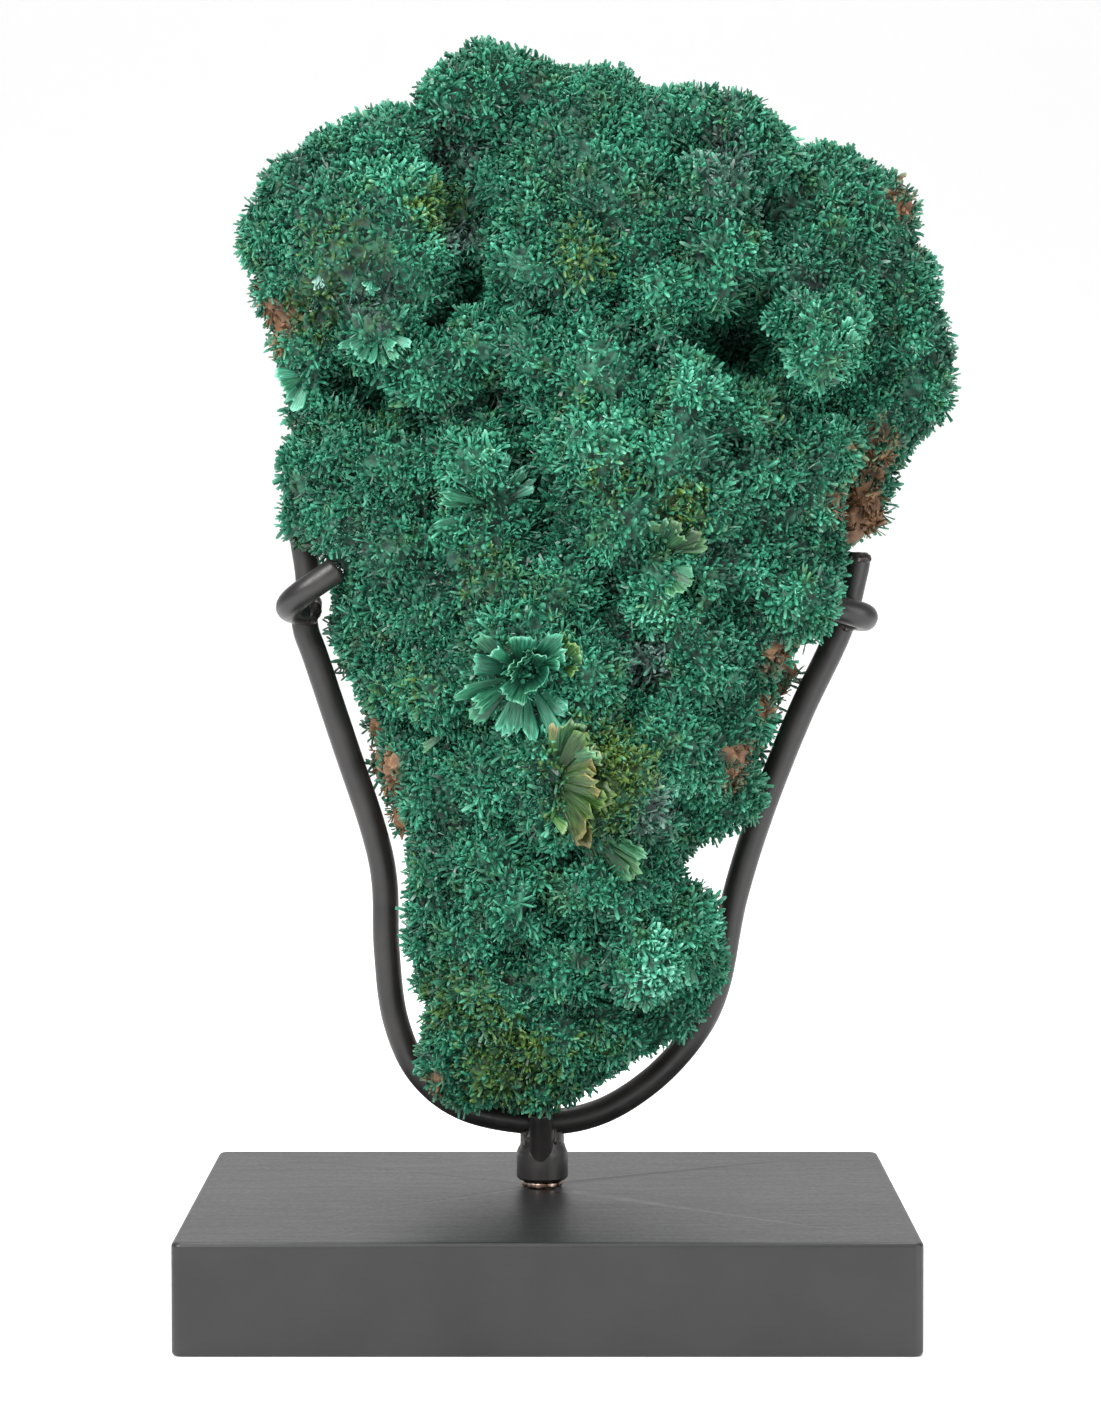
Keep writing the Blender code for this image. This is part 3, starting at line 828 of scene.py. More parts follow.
def crystalKinds():
    # Each kind is a list of crystals: root, tip, width, thickness, sides, outline
    draw = random.Random(11)
    kinds = {}
    kinds["rod"] = [((0, 0, -0.2), (0.05, 0, 1), 0.30, 0.30, 5, rodOutline)]
    kinds["blade"] = [((0, 0, -0.2), (0.1, 0, 1), 0.42, 0.14, 4, bladeOutline)]
    kinds["fork"] = [
        ((0, 0, -0.2), (-0.34, 0.1, 0.92), 0.28, 0.16, 4, bladeOutline),
        ((0, 0, -0.2), (0.42, -0.12, 0.85), 0.26, 0.2, 4, bladeOutline),
    ]
    kinds["bead"] = [((0, 0, -0.15), (0.0, 0.05, 0.62), 0.52, 0.52, 5, beadOutline)]
    kinds["branch"] = [
        ((0, 0, -0.2), (0.3, 0.1, 0.8), 0.24, 0.24, 4, rodOutline),
        ((0.1, 0.05, 0.2), (-0.42, 0.2, 0.62), 0.2, 0.2, 4, rodOutline),
        ((0.15, 0.05, 0.4), (0.35, -0.45, 0.75), 0.2, 0.2, 4, rodOutline),
    ]
    spray = []
    for k in range(4):
        turn = math.radians(k * 90 + draw.uniform(-20, 20))
        tilt = math.radians(draw.uniform(28, 50))
        reach = draw.uniform(0.8, 1.1)
        tip = (
            reach * math.sin(tilt) * math.cos(turn),
            reach * math.sin(tilt) * math.sin(turn),
            reach * math.cos(tilt),
        )
        spray.append(((0, 0, -0.1), tip, 0.34, 0.12, 4, wedgeOutline))
    kinds["spray"] = spray
    return kinds


def buildKinds():
    folder = bpy.data.collections.new("crystal kinds")
    for name, spikes in crystalKinds().items():
        bm = bmesh.new()
        layers = (bm.verts.layers.float.new("rise"), bm.loops.layers.uv.new("OFBake"))
        across = math.ceil(math.sqrt(len(spikes)))
        for number, (root, tip, wide, thick, sides, outline) in enumerate(spikes):
            cell = (number % across / across, number // across / across, 1 / across)
            spikeShape(bm, layers, Vector(root), Vector(tip), wide, thick, sides, outline, cell)
        folder.objects.link(bpy.data.objects.new("kind_" + name, meshFrom(bm, name)))
    bpy.context.scene.collection.children.link(folder)
    return folder


def growthTree():
    tree = bpy.data.node_groups.new("crystal growth", "GeometryNodeTree")
    for name, kind in (
        ("Surface", "NodeSocketGeometry"), ("Kinds", "NodeSocketCollection"),
        ("Cover", "NodeSocketString"), ("Spacing", "NodeSocketFloat"),
        ("Hole size", "NodeSocketFloat"), ("Web width", "NodeSocketFloat"),
        ("Length", "NodeSocketFloat"), ("Lean", "NodeSocketFloat"),
        ("Lowest", "NodeSocketFloat"), ("Highest", "NodeSocketFloat"),
        ("Seed", "NodeSocketInt"), ("Finish", "NodeSocketMaterial"),
    ):
        tree.interface.new_socket(name, in_out="INPUT", socket_type=kind)
    tree.interface.new_socket("Crystals", in_out="OUTPUT", socket_type="NodeSocketGeometry")
    given = tree.nodes.new("NodeGroupInput").outputs

    cover = addNode(
        tree, "GeometryNodeInputNamedAttribute", {"Name": given["Cover"]}, data_type="FLOAT"
    ).outputs["Attribute"]
    spread = addNode(
        tree, "GeometryNodeDistributePointsOnFaces",
        {
            "Mesh": given["Surface"], "Distance Min": given["Spacing"], "Density Max": 4.0e6,
            "Density Factor": cover, "Seed": given["Seed"],
        },
        distribute_method="POISSON",
    )
    place = addNode(tree, "GeometryNodeInputPosition").outputs[0]
    height = addNode(tree, "ShaderNodeSeparateXYZ", {0: place}).outputs["Z"]
    perMetre = maths(tree, "DIVIDE", 1.0, given["Hole size"])
    web = addNode(
        tree, "ShaderNodeTexVoronoi", {"Vector": place, "Scale": perMetre},
        voronoi_dimensions="3D", feature="DISTANCE_TO_EDGE",
    ).outputs["Distance"]
    wander = addNode(tree, "ShaderNodeTexNoise", {"Vector": place, "Scale": 90.0, "Detail": 2.0})
    widest = maths(
        tree, "MULTIPLY", given["Web width"], remapped(tree, wander.outputs[0], 0.35, 0.65, 0.6, 1.9)
    )
    inHole = addNode(tree, "FunctionNodeCompare", {0: web, 1: widest}, operation="GREATER_THAN")
    below = addNode(tree, "FunctionNodeCompare", {0: height, 1: given["Lowest"]}, operation="LESS_THAN")
    above = addNode(
        tree, "FunctionNodeCompare", {0: height, 1: given["Highest"]}, operation="GREATER_EQUAL"
    )
    outside = addNode(
        tree, "FunctionNodeBooleanMath", {0: below.outputs[0], 1: above.outputs[0]}, operation="OR"
    )
    unwanted = addNode(
        tree, "FunctionNodeBooleanMath", {0: inHole.outputs[0], 1: outside.outputs[0]}, operation="OR"
    )
    kept = addNode(
        tree, "GeometryNodeDeleteGeometry",
        {"Geometry": spread.outputs["Points"], "Selection": unwanted.outputs[0]}, domain="POINT",
    )

    def chance(low, high, shift):
        seed = maths(tree, "ADD", given["Seed"], shift)
        return addNode(
            tree, "FunctionNodeRandomValue", {2: low, 3: high, "Seed": seed}, data_type="FLOAT"
        ).outputs[1]

    tinted = addNode(
        tree, "GeometryNodeStoreNamedAttribute",
        {"Geometry": kept.outputs[0], "Name": "tint", "Value": chance(0.0, 1.0, 1)},
        data_type="FLOAT", domain="POINT",
    )
    number = addNode(tree, "GeometryNodeInputIndex").outputs[0]
    celled = addNode(
        tree, "GeometryNodeStoreNamedAttribute",
        {"Geometry": tinted.outputs[0], "Name": "cell", "Value": number},
        data_type="INT", domain="POINT",
    )
    shapes = addNode(
        tree, "GeometryNodeCollectionInfo",
        {"Collection": given["Kinds"], "Separate Children": True, "Reset Children": True},
    )
    upright = addNode(
        tree, "FunctionNodeAlignRotationToVector", {"Vector": spread.outputs["Normal"]}, axis="Z"
    ).outputs[0]
    backLean = maths(tree, "MULTIPLY", given["Lean"], -1.0)

    def turned(rotation, x, y, z):
        angles = addNode(tree, "ShaderNodeCombineXYZ", {0: x, 1: y, 2: z}).outputs[0]
        by = addNode(tree, "FunctionNodeEulerToRotation", {0: angles}).outputs[0]
        return addNode(
            tree, "FunctionNodeRotateRotation", {"Rotation": rotation, "Rotate By": by},
            rotation_space="LOCAL",
        ).outputs[0]

    leaning = turned(
        upright, chance(backLean, given["Lean"], 2), chance(backLean, given["Lean"], 3), 0.0
    )
    spun = turned(leaning, 0.0, 0.0, chance(0.0, 2 * math.pi, 4))
    grow = addNode(
        tree, "GeometryNodeInputNamedAttribute", {"Name": "grow"}, data_type="FLOAT"
    ).outputs["Attribute"]
    size = maths(tree, "MULTIPLY", maths(tree, "MULTIPLY", given["Length"], grow), chance(0.6, 1.3, 5))
    pick = addNode(
        tree, "FunctionNodeRandomValue", {4: 0, 5: 99, "Seed": maths(tree, "ADD", given["Seed"], 6)},
        data_type="INT",
    ).outputs[2]
    grown = addNode(
        tree, "GeometryNodeInstanceOnPoints",
        {
            "Points": celled.outputs[0], "Instance": shapes.outputs[0], "Pick Instance": True,
            "Instance Index": pick, "Rotation": spun, "Scale": size,
        },
    )
    real = addNode(tree, "GeometryNodeRealizeInstances", {0: grown.outputs[0]})
    dressed = addNode(
        tree, "GeometryNodeSetMaterial", {"Geometry": real.outputs[0], "Material": given["Finish"]}
    )
    done = tree.nodes.new("NodeGroupOutput")
    tree.links.new(dressed.outputs[0], done.inputs["Crystals"])
    return tree


def spreadMap(mesh):
    # Gives each crystal its own square of the OFBake map
    corners = np.empty(len(mesh.loops), dtype=np.int32)
    mesh.loops.foreach_get("vertex_index", corners)
    cells = np.empty(len(mesh.vertices), dtype=np.int32)
    mesh.attributes["cell"].data.foreach_get("value", cells)
    _, cells = np.unique(cells, return_inverse=True)
    across = math.ceil(math.sqrt(cells.max() + 1))
    spots = np.empty(len(mesh.loops) * 2, dtype=np.float32)
    mesh.uv_layers["OFBake"].uv.foreach_get("vector", spots)
    spots = spots.reshape(-1, 2)
    cell = cells[corners]
    spots[:, 0] = (cell % across + 0.04 + 0.92 * spots[:, 0]) / across
    spots[:, 1] = (cell // across + 0.04 + 0.92 * spots[:, 1]) / across
    mesh.uv_layers["OFBake"].uv.foreach_set("vector", spots.ravel())
    mesh.attributes.remove(mesh.attributes["cell"])


def growCrystals(name, surface, tree, values):
    mesh = surface.data.copy()
    crystals = newObject(name, mesh)
    modifier = crystals.modifiers.new("growth", "NODES")
    modifier.node_group = tree
    setInputs(modifier, tree, values)
    bakedDown(crystals)
    spreadMap(crystals.data)
    crystals.data.shade_flat()
    triangles = sum(len(p.vertices) - 2 for p in crystals.data.polygons)
    print(name, triangles, "triangles")
    return crystals


# Finishes of the specimen

# Each ramp runs from near-black, the painted shade of the deep gaps, up to its palest tone
greens = {
    "teal": [
        (0.0, (0.0015, 0.012, 0.009)), (0.28, (0.006, 0.060, 0.036)), (0.52, (0.018, 0.165, 0.092)),
        (0.76, (0.055, 0.34, 0.21)), (1.0, (0.24, 0.66, 0.50)),
    ],
    "olive": [
        (0.0, (0.003, 0.012, 0.003)), (0.3, (0.018, 0.055, 0.010)), (0.6, (0.075, 0.155, 0.024)),
        (1.0, (0.26, 0.36, 0.08)),
    ],
    "dusk": [
        (0.0, (0.004, 0.010, 0.010)), (0.4, (0.030, 0.060, 0.052)), (0.75, (0.13, 0.21, 0.19)),
        (1.0, (0.42, 0.52, 0.50)),
    ],
    "brown": [
        (0.0, (0.012, 0.006, 0.003)), (0.35, (0.060, 0.028, 0.012)), (0.65, (0.20, 0.10, 0.045)),
        (1.0, (0.42, 0.27, 0.15)),
    ],
}


def greenColour(tree, place, level, matrixShare):
    # Mixes the four ramps by the tints stored on the bed, broken up by noise
    patchy = noisy(tree, place, 7 * mm, 3)
    fine = noisy(tree, place, 2.2 * mm, 2)

    def share(name, strength):
        mark = maths(tree, "MULTIPLY", attribute(tree, name), strength)
        broken = maths(tree, "ADD", mark, maths(tree, "MULTIPLY", maths(tree, "SUBTRACT", fine, 0.5), 1.6))
        return remapped(tree, broken, 0.42, 0.78)

    teal = ramped(tree, level, greens["teal"])
    olive = ramped(tree, level, greens["olive"])
    dusk = ramped(tree, level, greens["dusk"])
    brown = ramped(tree, level, greens["brown"])
    background = remapped(tree, patchy, 0.56, 0.74, 0.0, 0.55)
    oliveShare = maths(tree, "MAXIMUM", share("olive", 1.0), background)
    colour = mixed(tree, oliveShare, teal, olive)
    colour = mixed(tree, share("dusk", 1.0), colour, dusk)
    return mixed(tree, matrixShare, colour, brown)


def crystalFinish():
    finish, tree, shader, place = startFinish("malachite_crystal", 0.42)
    rise = attribute(tree, "rise")
    tint = attribute(tree, "tint")
    cavity = attribute(tree, "cavity")
    silk = attribute(tree, "silk")
    broad = noisy(tree, place, 11 * mm, 3)
    # Painted shade: each crystal darker towards its root, in the shade between its neighbours, and lighter towards
    # its tip
    level = maths(tree, "MULTIPLY", rise, 0.42)
    level = maths(tree, "ADD", level, maths(tree, "MULTIPLY", tint, 0.30))
    # Painted shade: crystals standing in the bed's hollows are made darker
    level = maths(tree, "ADD", level, maths(tree, "MULTIPLY", maths(tree, "SUBTRACT", cavity, 0.5), 0.5))
    # Painted sheen: crystals on the silky patches made lighter
    level = maths(tree, "ADD", level, maths(tree, "MULTIPLY", silk, 0.20))
    level = maths(tree, "ADD", level, remapped(tree, broad, 0.3, 0.7, -0.10, 0.14))
    matrixShare = remapped(
        tree, maths(tree, "ADD", attribute(tree, "matrix"), maths(tree, "MULTIPLY", tint, 0.5)), 0.75, 1.1
    )
    colour = greenColour(tree, place, level, matrixShare)
    tree.links.new(colour, shader.inputs["Base Color"])
    rough = remapped(tree, tint, 0.0, 1.0, 0.34, 0.56)
    tree.links.new(rough, shader.inputs["Roughness"])
    return finish


def bedFinish():
    finish, tree, shader, place = startFinish("malachite_bed", 0.62)
    cavity = attribute(tree, "cavity")
    web = attribute(tree, "web")
    fine = noisy(tree, place, 0.9 * mm, 3)
    # Painted shade: the skin is darker in the hollows
    level = maths(tree, "ADD", maths(tree, "MULTIPLY", cavity, 0.5), maths(tree, "MULTIPLY", fine, 0.5))
    level = maths(tree, "SUBTRACT", level, 0.22)
    # Painted shade: the skin darker in the middles of the sunk holes, lighter on the ridges between them
    depth = remapped(tree, web, 0.0, 0.45, 0.12, -0.25)
    level = maths(tree, "ADD", level, depth)
    matrixShare = remapped(
        tree, maths(tree, "ADD", attribute(tree, "matrix"), maths(tree, "MULTIPLY", fine, 0.4)), 0.55, 0.85
    )
    brownLevel = maths(tree, "MULTIPLY", attribute(tree, "matrix"), 0.25)
    colour = greenColour(tree, place, maths(tree, "ADD", level, brownLevel), matrixShare)
    tree.links.new(colour, shader.inputs["Base Color"])
    rough = remapped(tree, fine, 0.3, 0.7, 0.5, 0.75)
    tree.links.new(rough, shader.inputs["Roughness"])
    bumped(tree, shader, fine, 0.7, 0.35 * mm)
    return finish


def bladeFinish():
    finish, tree, shader, place = startFinish("malachite_blade", 0.36)
    rise = attribute(tree, "rise")
    tint = attribute(tree, "tint")
    grain = addNode(tree, "ShaderNodeAttribute", attribute_name="grain").outputs["Vector"]
    stretched = addNode(tree, "ShaderNodeMapping", {"Vector": grain, "Scale": (9.0, 0.9, 1.0)})
    lines = addNode(
        tree, "ShaderNodeTexNoise", {"Vector": stretched.outputs[0], "Scale": 1.0, "Detail": 3.0}
    ).outputs[0]
    # Painted shade: each blade darker towards its root, under the blades around it
    level = maths(tree, "ADD", maths(tree, "MULTIPLY", rise, 0.34), maths(tree, "MULTIPLY", tint, 0.26))
    level = maths(tree, "ADD", level, remapped(tree, lines, 0.32, 0.68, -0.16, 0.22))
    # Painted highlight: a lighter rim along the ragged end of each blade
    endHighlight = remapped(tree, rise, 0.86, 1.0, 0.0, 0.24)
    level = maths(tree, "ADD", level, endHighlight)
    # Painted sheen together with the blades' own tone: each fan's lightness offset
    level = maths(tree, "ADD", level, maths(tree, "MULTIPLY", attribute(tree, "glow"), 0.34))
    teal = ramped(tree, level, greens["teal"])
    olive = ramped(tree, level, greens["olive"])
    dusk = ramped(tree, level, greens["dusk"])
    brown = ramped(tree, level, greens["brown"])
    colour = mixed(tree, attribute(tree, "olive"), teal, olive)
    colour = mixed(tree, attribute(tree, "dusk"), colour, dusk)
    rust = maths(tree, "MULTIPLY", attribute(tree, "rust"), remapped(tree, rise, 0.55, 0.95))
    colour = mixed(tree, rust, colour, brown)
    tree.links.new(colour, shader.inputs["Base Color"])
    tree.links.new(remapped(tree, lines, 0.3, 0.7, 0.28, 0.5), shader.inputs["Roughness"])
    bumped(tree, shader, lines, 0.55, 0.25 * mm)
    return finish


crystalGreen = crystalFinish()
bedGreen = bedFinish()
bladeGreen = bladeFinish()

growth = {
    "front": {
        "Cover": "frontCover", "Spacing": 0.80 * mm, "Hole size": 3.3 * mm, "Web width": 0.17,
        "Length": 2.5 * mm, "Lean": math.radians(62), "Seed": 5,
    },
    "back": {
        "Cover": "backCover", "Spacing": 1.5 * mm, "Hole size": 5 * mm, "Web width": 0.3,
        "Length": 2.2 * mm, "Lean": math.radians(55), "Seed": 9,
    },
}
frontBands = {
    "malachite_crystals_low": (0.0, 138 * mm), "malachite_crystals_middle": (138 * mm, 183 * mm),
    "malachite_crystals_high": (183 * mm, 222 * mm), "malachite_crystals_top": (222 * mm, 1.0),
}

kindFolder = buildKinds()
tree = growthTree()
crystalPieces = []
for name, (lowest, highest) in frontBands.items():
    values = dict(growth["front"], Kinds=kindFolder, Finish=crystalGreen, Lowest=lowest, Highest=highest)
    crystalPieces.append(growCrystals(name, bed, tree, values))
values = dict(growth["back"], Kinds=kindFolder, Finish=crystalGreen, Lowest=0.0, Highest=1.0)
crystalPieces.append(growCrystals("malachite_crystals_back", bed, tree, values))


# The bed's own web of ridges and sunk holes, darkened by painted shade in the skin's finish, in the pattern that
# the crystals follow

def webTree():
    tree = bpy.data.node_groups.new("web of ridges", "GeometryNodeTree")
    for name, kind in (
        ("Surface", "NodeSocketGeometry"), ("Hole size", "NodeSocketFloat"),
        ("Depth", "NodeSocketFloat"), ("Finish", "NodeSocketMaterial"),
    ):
        tree.interface.new_socket(name, in_out="INPUT", socket_type=kind)
    tree.interface.new_socket("Skin", in_out="OUTPUT", socket_type="NodeSocketGeometry")
    given = tree.nodes.new("NodeGroupInput").outputs
    place = addNode(tree, "GeometryNodeInputPosition").outputs[0]
    web = addNode(
        tree, "ShaderNodeTexVoronoi",
        {"Vector": place, "Scale": maths(tree, "DIVIDE", 1.0, given["Hole size"])},
        voronoi_dimensions="3D", feature="DISTANCE_TO_EDGE",
    ).outputs["Distance"]
    marked = addNode(
        tree, "GeometryNodeStoreNamedAttribute",
        {"Geometry": given["Surface"], "Name": "web", "Value": web}, data_type="FLOAT", domain="POINT",
    )
    stored = addNode(
        tree, "GeometryNodeInputNamedAttribute", {"Name": "web"}, data_type="FLOAT"
    ).outputs["Attribute"]
    sink = maths(tree, "MULTIPLY", remapped(tree, stored, 0.08, 0.42), given["Depth"])
    normal = addNode(tree, "GeometryNodeInputNormal").outputs[0]
    offset = addNode(
        tree, "ShaderNodeVectorMath", {0: normal, "Scale": maths(tree, "MULTIPLY", sink, -1.0)},
        operation="SCALE",
    )
    moved = addNode(
        tree, "GeometryNodeSetPosition", {"Geometry": marked.outputs[0], "Offset": offset.outputs[0]}
    )
    real = addNode(tree, "GeometryNodeRealizeInstances", {0: moved.outputs[0]})
    dressed = addNode(
        tree, "GeometryNodeSetMaterial", {"Geometry": real.outputs[0], "Material": given["Finish"]}
    )
    done = tree.nodes.new("NodeGroupOutput")
    tree.links.new(dressed.outputs[0], done.inputs["Skin"])
    return tree


def sinkHoles(bed):
    tree = webTree()
    modifier = bed.modifiers.new("web", "NODES")
    modifier.node_group = tree
    setInputs(modifier, tree, {
        "Hole size": growth["front"]["Hole size"], "Depth": 1.3 * mm, "Finish": bedGreen,
    })
    bakedDown(bed)
    bed.data.shade_smooth()


# Fans and rosettes of broad striped blades, placed as they show on the front.
# at: across and up in millimetres; aim: degrees from right, counterclockwise; lift: off the surface

# glow: how much lighter the blades are (darker when below zero), partly their own tone and partly painted sheen on
# the silky ones
fans = {
    "big_rosette_outer": {
        "at": (-5.3, 143.5), "aim": 180, "spread": 150, "blades": 15, "length": 13.5, "width": 4.6,
        "lift": 34, "olive": 0.0, "glow": 0.25, "ring": 2.5,
    },
    "big_rosette_inner": {
        "at": (-4.0, 145.5), "aim": 90, "spread": 180, "blades": 11, "length": 9.5, "width": 4.2,
        "lift": 60, "olive": 0.1, "glow": 0.05, "ring": 1.5,
    },
    "rosette_olive_petals": {
        "at": (1.5, 146.5), "aim": 40, "spread": 70, "blades": 5, "length": 9, "width": 4.0,
        "lift": 48, "olive": 0.75, "glow": 0.0, "ring": 1.5,
    },
    "rosette_pale_blades": {
        "at": (-4.5, 136.5), "aim": 245, "spread": 45, "blades": 5, "length": 7, "width": 2.3,
        "lift": 20, "olive": 0.1, "glow": 0.9, "ring": 1.0,
    },
    "olive_fan": {
        "at": (-0.3, 120.6), "aim": 8, "spread": 58, "blades": 11, "length": 18.5, "width": 6.4,
        "lift": 26, "olive": 0.85, "glow": 0.0, "ring": 2.0, "rust": 0.7,
    },
    "olive_fan_upper": {
        "at": (1.5, 124.0), "aim": 40, "spread": 30, "blades": 5, "length": 15, "width": 6.0,
        "lift": 36, "olive": 0.6, "glow": 0.05, "ring": 1.5, "rust": 0.3,
    },
    "pale_blade": {
        "at": (-1.0, 114.0), "aim": -18, "spread": 6, "blades": 2, "length": 9.5, "width": 3.0,
        "lift": 30, "olive": 0.7, "glow": 0.95, "ring": 0.5,
    },
    "lower_fan": {
        "at": (8.2, 108.5), "aim": -38, "spread": 44, "blades": 9, "length": 14.5, "width": 4.6,
        "lift": 30, "olive": 0.45, "glow": 0.1, "ring": 1.5,
    },
    "teal_fan": {
        "at": (-37.9, 219.4), "aim": 270, "spread": 78, "blades": 9, "length": 8.2, "width": 2.9,
        "lift": 24, "olive": 0.0, "glow": 0.3, "ring": 0.8,
    },
    "left_edge_fan": {
        "at": (-52.9, 210.2), "aim": 212, "spread": 42, "blades": 6, "length": 9.0, "width": 3.0,
        "lift": 22, "olive": 0.0, "glow": 0.3, "ring": 0.6,
    },
    "white_crystal": {
        "at": (-51.1, 232.5), "aim": 275, "spread": 28, "blades": 4, "length": 4.2, "width": 1.4,
        "lift": 30, "olive": 0.0, "glow": 1.3, "dusk": 0.6, "ring": 0.3,
    },
    "small_bright_pair": {
        "at": (-38.6, 231.5), "aim": 260, "spread": 40, "blades": 4, "length": 4.4, "width": 2.0,
        "lift": 35, "olive": 0.0, "glow": 0.7, "ring": 0.4,
    },
    "right_fan": {
        "at": (66.0, 212.5), "aim": 152, "spread": 62, "blades": 11, "length": 11.0, "width": 3.4,
        "lift": 32, "olive": 0.0, "glow": 0.42, "ring": 0.8,
    },
    "right_fan_upper": {
        "at": (65.0, 215.0), "aim": 118, "spread": 34, "blades": 6, "length": 8.5, "width": 3.0,
        "lift": 42, "olive": 0.0, "glow": 0.35, "ring": 0.6,
    },
    "radiating_blades": {
        "at": (-11.5, 181.0), "aim": 140, "spread": 62, "blades": 10, "length": 15.0, "width": 2.5,
        "lift": 20, "olive": 0.0, "glow": 0.15, "ring": 0.8,
    },
    "radiating_blades_right": {
        "at": (-9.5, 181.5), "aim": 55, "spread": 32, "blades": 6, "length": 9.5, "width": 2.6,
        "lift": 32, "olive": 0.0, "glow": 0.3, "dusk": 0.2, "ring": 0.6,
    },
    "dark_fan": {
        "at": (24.6, 170.0), "aim": 55, "spread": 52, "blades": 8, "length": 10.5, "width": 3.6,
        "lift": 34, "olive": 0.45, "glow": -0.2, "rust": 0.3, "ring": 1.0,
    },
    "plates_by_the_hole": {
        "at": (26.0, 167.5), "aim": -40, "spread": 40, "blades": 5, "length": 8.0, "width": 4.2,
        "lift": 38, "olive": 0.3, "glow": 0.2, "ring": 1.0,
    },
    "dark_star": {
        "at": (-21.9, 130.5), "aim": 90, "spread": 180, "blades": 9, "length": 8.0, "width": 2.4,
        "lift": 24, "olive": 0.35, "glow": -0.25, "ring": 0.5,
    },
    "bright_edge_fan": {
        "at": (17.0, 133.5), "aim": 290, "spread": 70, "blades": 8, "length": 7.0, "width": 3.2,
        "lift": 34, "olive": 0.0, "glow": 0.45, "ring": 0.8,
    },
    "grey_needles": {
        "at": (22.4, 145.5), "aim": 100, "spread": 160, "blades": 12, "length": 7.5, "width": 1.3,
        "lift": 22, "olive": 0.0, "glow": 0.0, "dusk": 0.8, "ring": 0.3,
    },
    "bright_streak": {
        "at": (31.0, 124.5), "aim": 232, "spread": 24, "blades": 7, "length": 10.5, "width": 1.5,
        "lift": 18, "olive": 0.0, "glow": 0.75, "ring": 0.3,
    },
    "silver_fibres": {
        "at": (25.5, 119.0), "aim": 235, "spread": 40, "blades": 11, "length": 10.0, "width": 1.2,
        "lift": 14, "olive": 0.0, "glow": 0.35, "dusk": 0.6, "ring": 0.5,
    },
    "silky_patch": {
        "at": (29.5, 84.5), "aim": 218, "spread": 26, "blades": 9, "length": 13.5, "width": 3.0,
        "lift": 16, "olive": 0.0, "glow": 0.75, "ring": 1.2,
    },
    "silky_patch_side": {
        "at": (32.0, 82.0), "aim": 255, "spread": 22, "blades": 5, "length": 8.5, "width": 2.6,
        "lift": 22, "olive": 0.0, "glow": 0.4, "ring": 0.8,
    },
    "upper_needles": {
        "at": (36.5, 92.5), "aim": 190, "spread": 40, "blades": 6, "length": 8.0, "width": 1.8,
        "lift": 24, "olive": 0.0, "glow": 0.35, "ring": 0.4,
    },
}
bladeBuild = {"stations": 7, "columns": 6, "thickness": 0.35 * mm, "ridge": 0.16 * mm, "sink": 1.6 * mm}


def bladeShape(bm, layers, root, along, across, up, length, width, curl, marks, number, draw):
    # A closed striped wedge that widens to a ragged end
    stations, columns = bladeBuild["stations"], bladeBuild["columns"]
    ragged = [draw.uniform(0.82, 1.0) for _ in range(columns + 1)]
    cup = draw.uniform(-0.12, 0.2)
    sheets = []
    for side in (1, -1):
        grid = []
        for i in range(stations + 1):
            t = i / stations
            row = []
            for j in range(columns + 1):
                s = j / columns * 2 - 1
                half = width / 2 * (0.14 + 0.86 * t**0.85) * (1 - 0.12 * t**6)
                reach = length * t * (1 - (1 - ragged[j]) * t**2) * (1 - 0.10 * s * s * t)
                ridge = bladeBuild["ridge"] * (1 if j % 2 else -1) * (0.3 + t)
                thick = bladeBuild["thickness"] * (1 - 0.55 * t) * (1 - 0.7 * abs(s) ** 3)
                rise = curl * length * t * t + cup * half * s * s + ridge + side * thick / 2
                vert = bm.verts.new(root + along * reach + across * (half * s) + up * rise)
                vert[layers["rise"]] = t
                vert[layers["grain"]] = Vector((s, t * length / mm / 4, number * 7.3))
                for name, value in marks.items():
                    vert[layers[name]] = value
                row.append(vert)
            grid.append(row)
        sheets.append(grid)
    top, bottom = sheets
    mapLayer = layers["map"]
    cell = layers["cells"]
    x0, y0 = number % cell / cell, number // cell / cell

    def addFace(verts, spots):
        face = bm.faces.new(verts)
        face.smooth = True
        for loop, (u, v) in zip(face.loops, spots):
            loop[mapLayer].uv = (x0 + (0.05 + 0.9 * u) / cell, y0 + (0.05 + 0.9 * v) / cell)

    for i in range(stations):
        for j in range(columns):
            u, u2 = j / columns / 2, (j + 1) / columns / 2
            v, v2 = i / stations, (i + 1) / stations
            addFace(
                (top[i][j], top[i][j + 1], top[i + 1][j + 1], top[i + 1][j]),
                ((u, v), (u2, v), (u2, v2), (u, v2)),
            )
            addFace(
                (bottom[i][j], bottom[i + 1][j], bottom[i + 1][j + 1], bottom[i][j + 1]),
                ((u + 0.5, v), (u + 0.5, v2), (u2 + 0.5, v2), (u2 + 0.5, v)),
            )
    for i in range(stations):
        v, v2 = i / stations, (i + 1) / stations
        addFace(
            (top[i][0], top[i + 1][0], bottom[i + 1][0], bottom[i][0]),
            ((0.0, v), (0.0, v2), (0.03, v2), (0.03, v)),
        )
        addFace(
            (top[i][columns], bottom[i][columns], bottom[i + 1][columns], top[i + 1][columns]),
            ((0.5, v), (0.53, v), (0.53, v2), (0.5, v2)),
        )
    for j in range(columns):
        u, u2 = j / columns / 2, (j + 1) / columns / 2
        addFace(
            (top[0][j], bottom[0][j], bottom[0][j + 1], top[0][j + 1]),
            ((u, 0.0), (u, 0.02), (u2, 0.02), (u2, 0.0)),
        )
        addFace(
            (top[stations][j], top[stations][j + 1], bottom[stations][j + 1], bottom[stations][j]),
            ((u, 1.0), (u2, 1.0), (u2, 0.98), (u, 0.98)),
        )


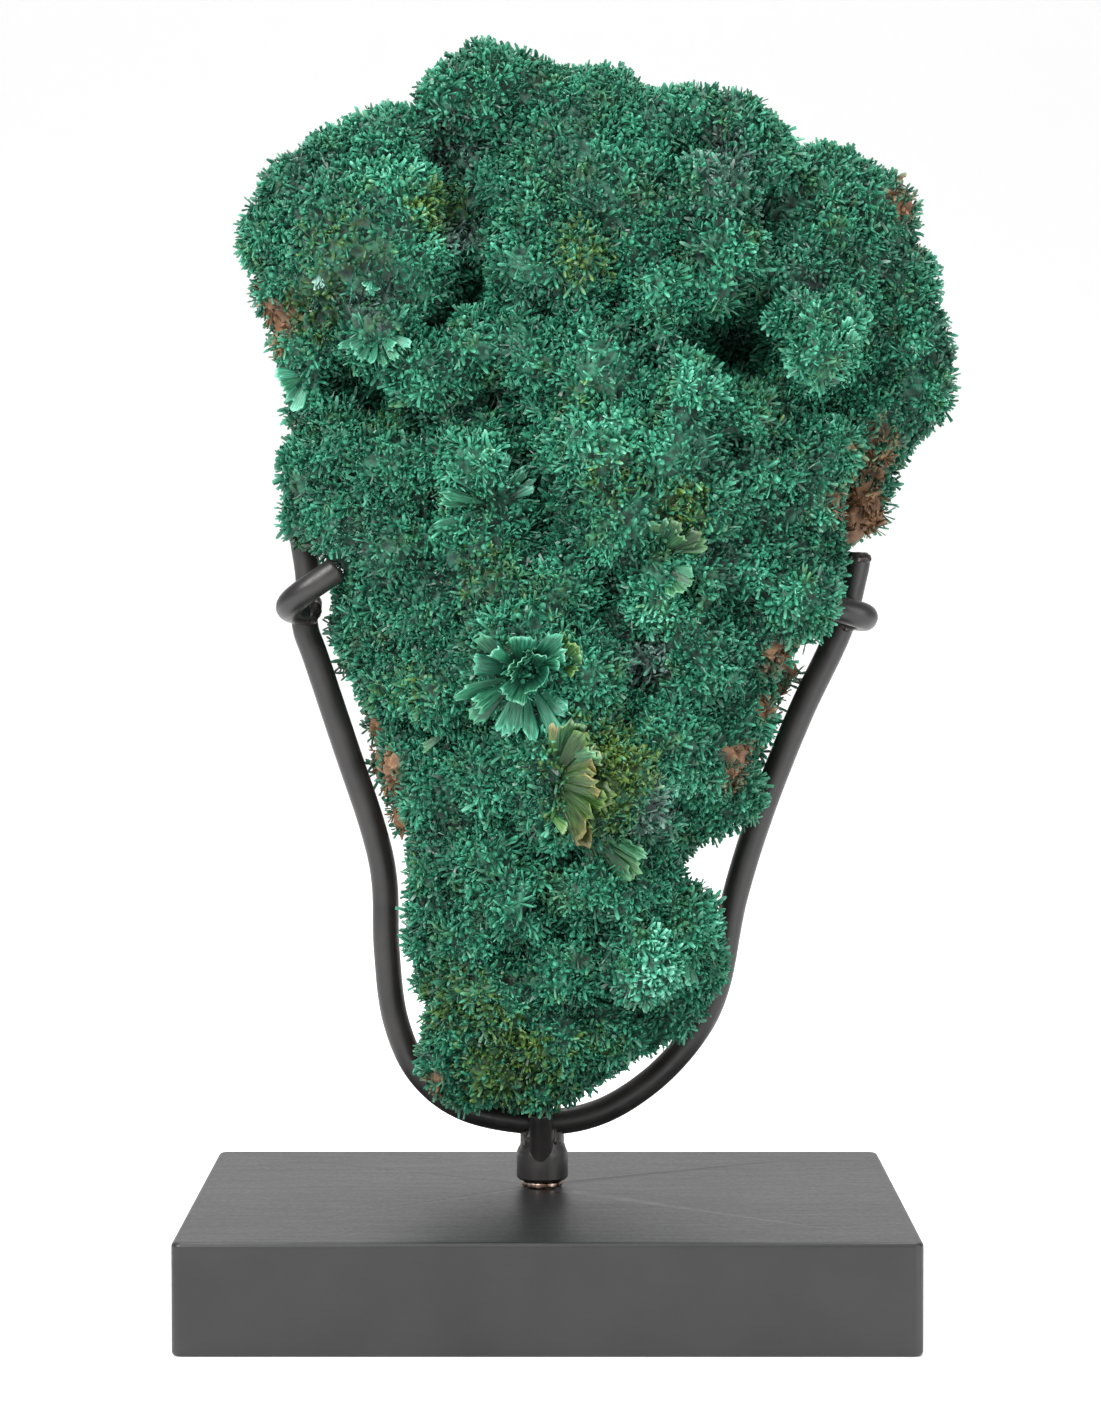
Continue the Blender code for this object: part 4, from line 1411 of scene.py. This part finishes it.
def surfaceAt(search, x, z):
    # Where the front of the bed is at this place, and which way it faces on the whole
    place, _, _, _ = search.ray_cast(Vector((x, -0.2, z)), Vector((0, 1, 0)))
    total = Vector((0, -0.5, 0))
    for dx in (-4 * mm, 0, 4 * mm):
        for dz in (-4 * mm, 0, 4 * mm):
            near, normal, _, _ = search.ray_cast(Vector((x + dx, -0.2, z + dz)), Vector((0, 1, 0)))
            if near:
                total += normal
    return place, total.normalized()


def buildFans(search, finish):
    names = ("rise", "tint", "olive", "dusk", "glow", "rust")
    bm = bmesh.new()
    layers = {name: bm.verts.layers.float.new(name) for name in names}
    layers["grain"] = bm.verts.layers.float_vector.new("grain")
    layers["map"] = bm.loops.layers.uv.new("OFBake")
    layers["cells"] = math.ceil(math.sqrt(sum(fan["blades"] for fan in fans.values())))
    draw = random.Random(4)
    number = 0
    for fan in fans.values():
        place, normal = surfaceAt(search, fan["at"][0] * mm, fan["at"][1] * mm)
        upward = (Vector((0, 0, 1)) - normal * normal.z).normalized()
        rightward = upward.cross(normal).normalized()
        count = fan["blades"]
        for k in range(count):
            share = (k + 0.5) / count * 2 - 1
            angle = math.radians(fan["aim"] + share * fan["spread"] + draw.uniform(-7, 7))
            lift = math.radians(fan["lift"] + draw.uniform(-11, 13))
            flat = rightward * math.cos(angle) + upward * math.sin(angle)
            along = flat * math.cos(lift) + normal * math.sin(lift)
            across = normal.cross(flat).normalized()
            across.rotate(Matrix.Rotation(math.radians(draw.uniform(-24, 24)), 3, along))
            up = along.cross(across).normalized()
            if up.dot(normal) < 0:
                up.negate()
                across.negate()
            length = fan["length"] * mm * draw.uniform(0.78, 1.12)
            width = fan["width"] * mm * draw.uniform(0.8, 1.2)
            root = place - normal * bladeBuild["sink"] + flat * fan["ring"] * mm
            root += normal * draw.uniform(-0.4, 0.9) * mm
            marks = {
                "tint": draw.random(), "olive": min(1, max(0, fan["olive"] + draw.uniform(-0.15, 0.15))),
                "dusk": fan.get("dusk", 0.0), "glow": fan["glow"] + draw.uniform(-0.12, 0.12),
                "rust": fan.get("rust", 0.0) * draw.random(),
            }
            curl = draw.uniform(-0.10, 0.12)
            bladeShape(bm, layers, root, along, across, up, length, width, curl, marks, number, draw)
            number += 1
    bmesh.ops.recalc_face_normals(bm, faces=bm.faces)
    piece = newObject("malachite_fans", meshFrom(bm, "malachite_fans"), finish)
    triangles = sum(len(p.vertices) - 2 for p in piece.data.polygons)
    print("malachite_fans", number, "blades,", triangles, "triangles")
    return piece


search = BVHTree.FromObject(bed, bpy.context.evaluated_depsgraph_get())
fanPiece = buildFans(search, bladeGreen)
sinkHoles(bed)

for leftover in list(kindFolder.objects):
    bpy.data.objects.remove(leftover, do_unlink=True)
bpy.data.collections.remove(kindFolder)

for piece in [bed, fanPiece, *crystalPieces]:
    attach(piece, rootBody)
    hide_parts("malachite")
print("specimen dressed")
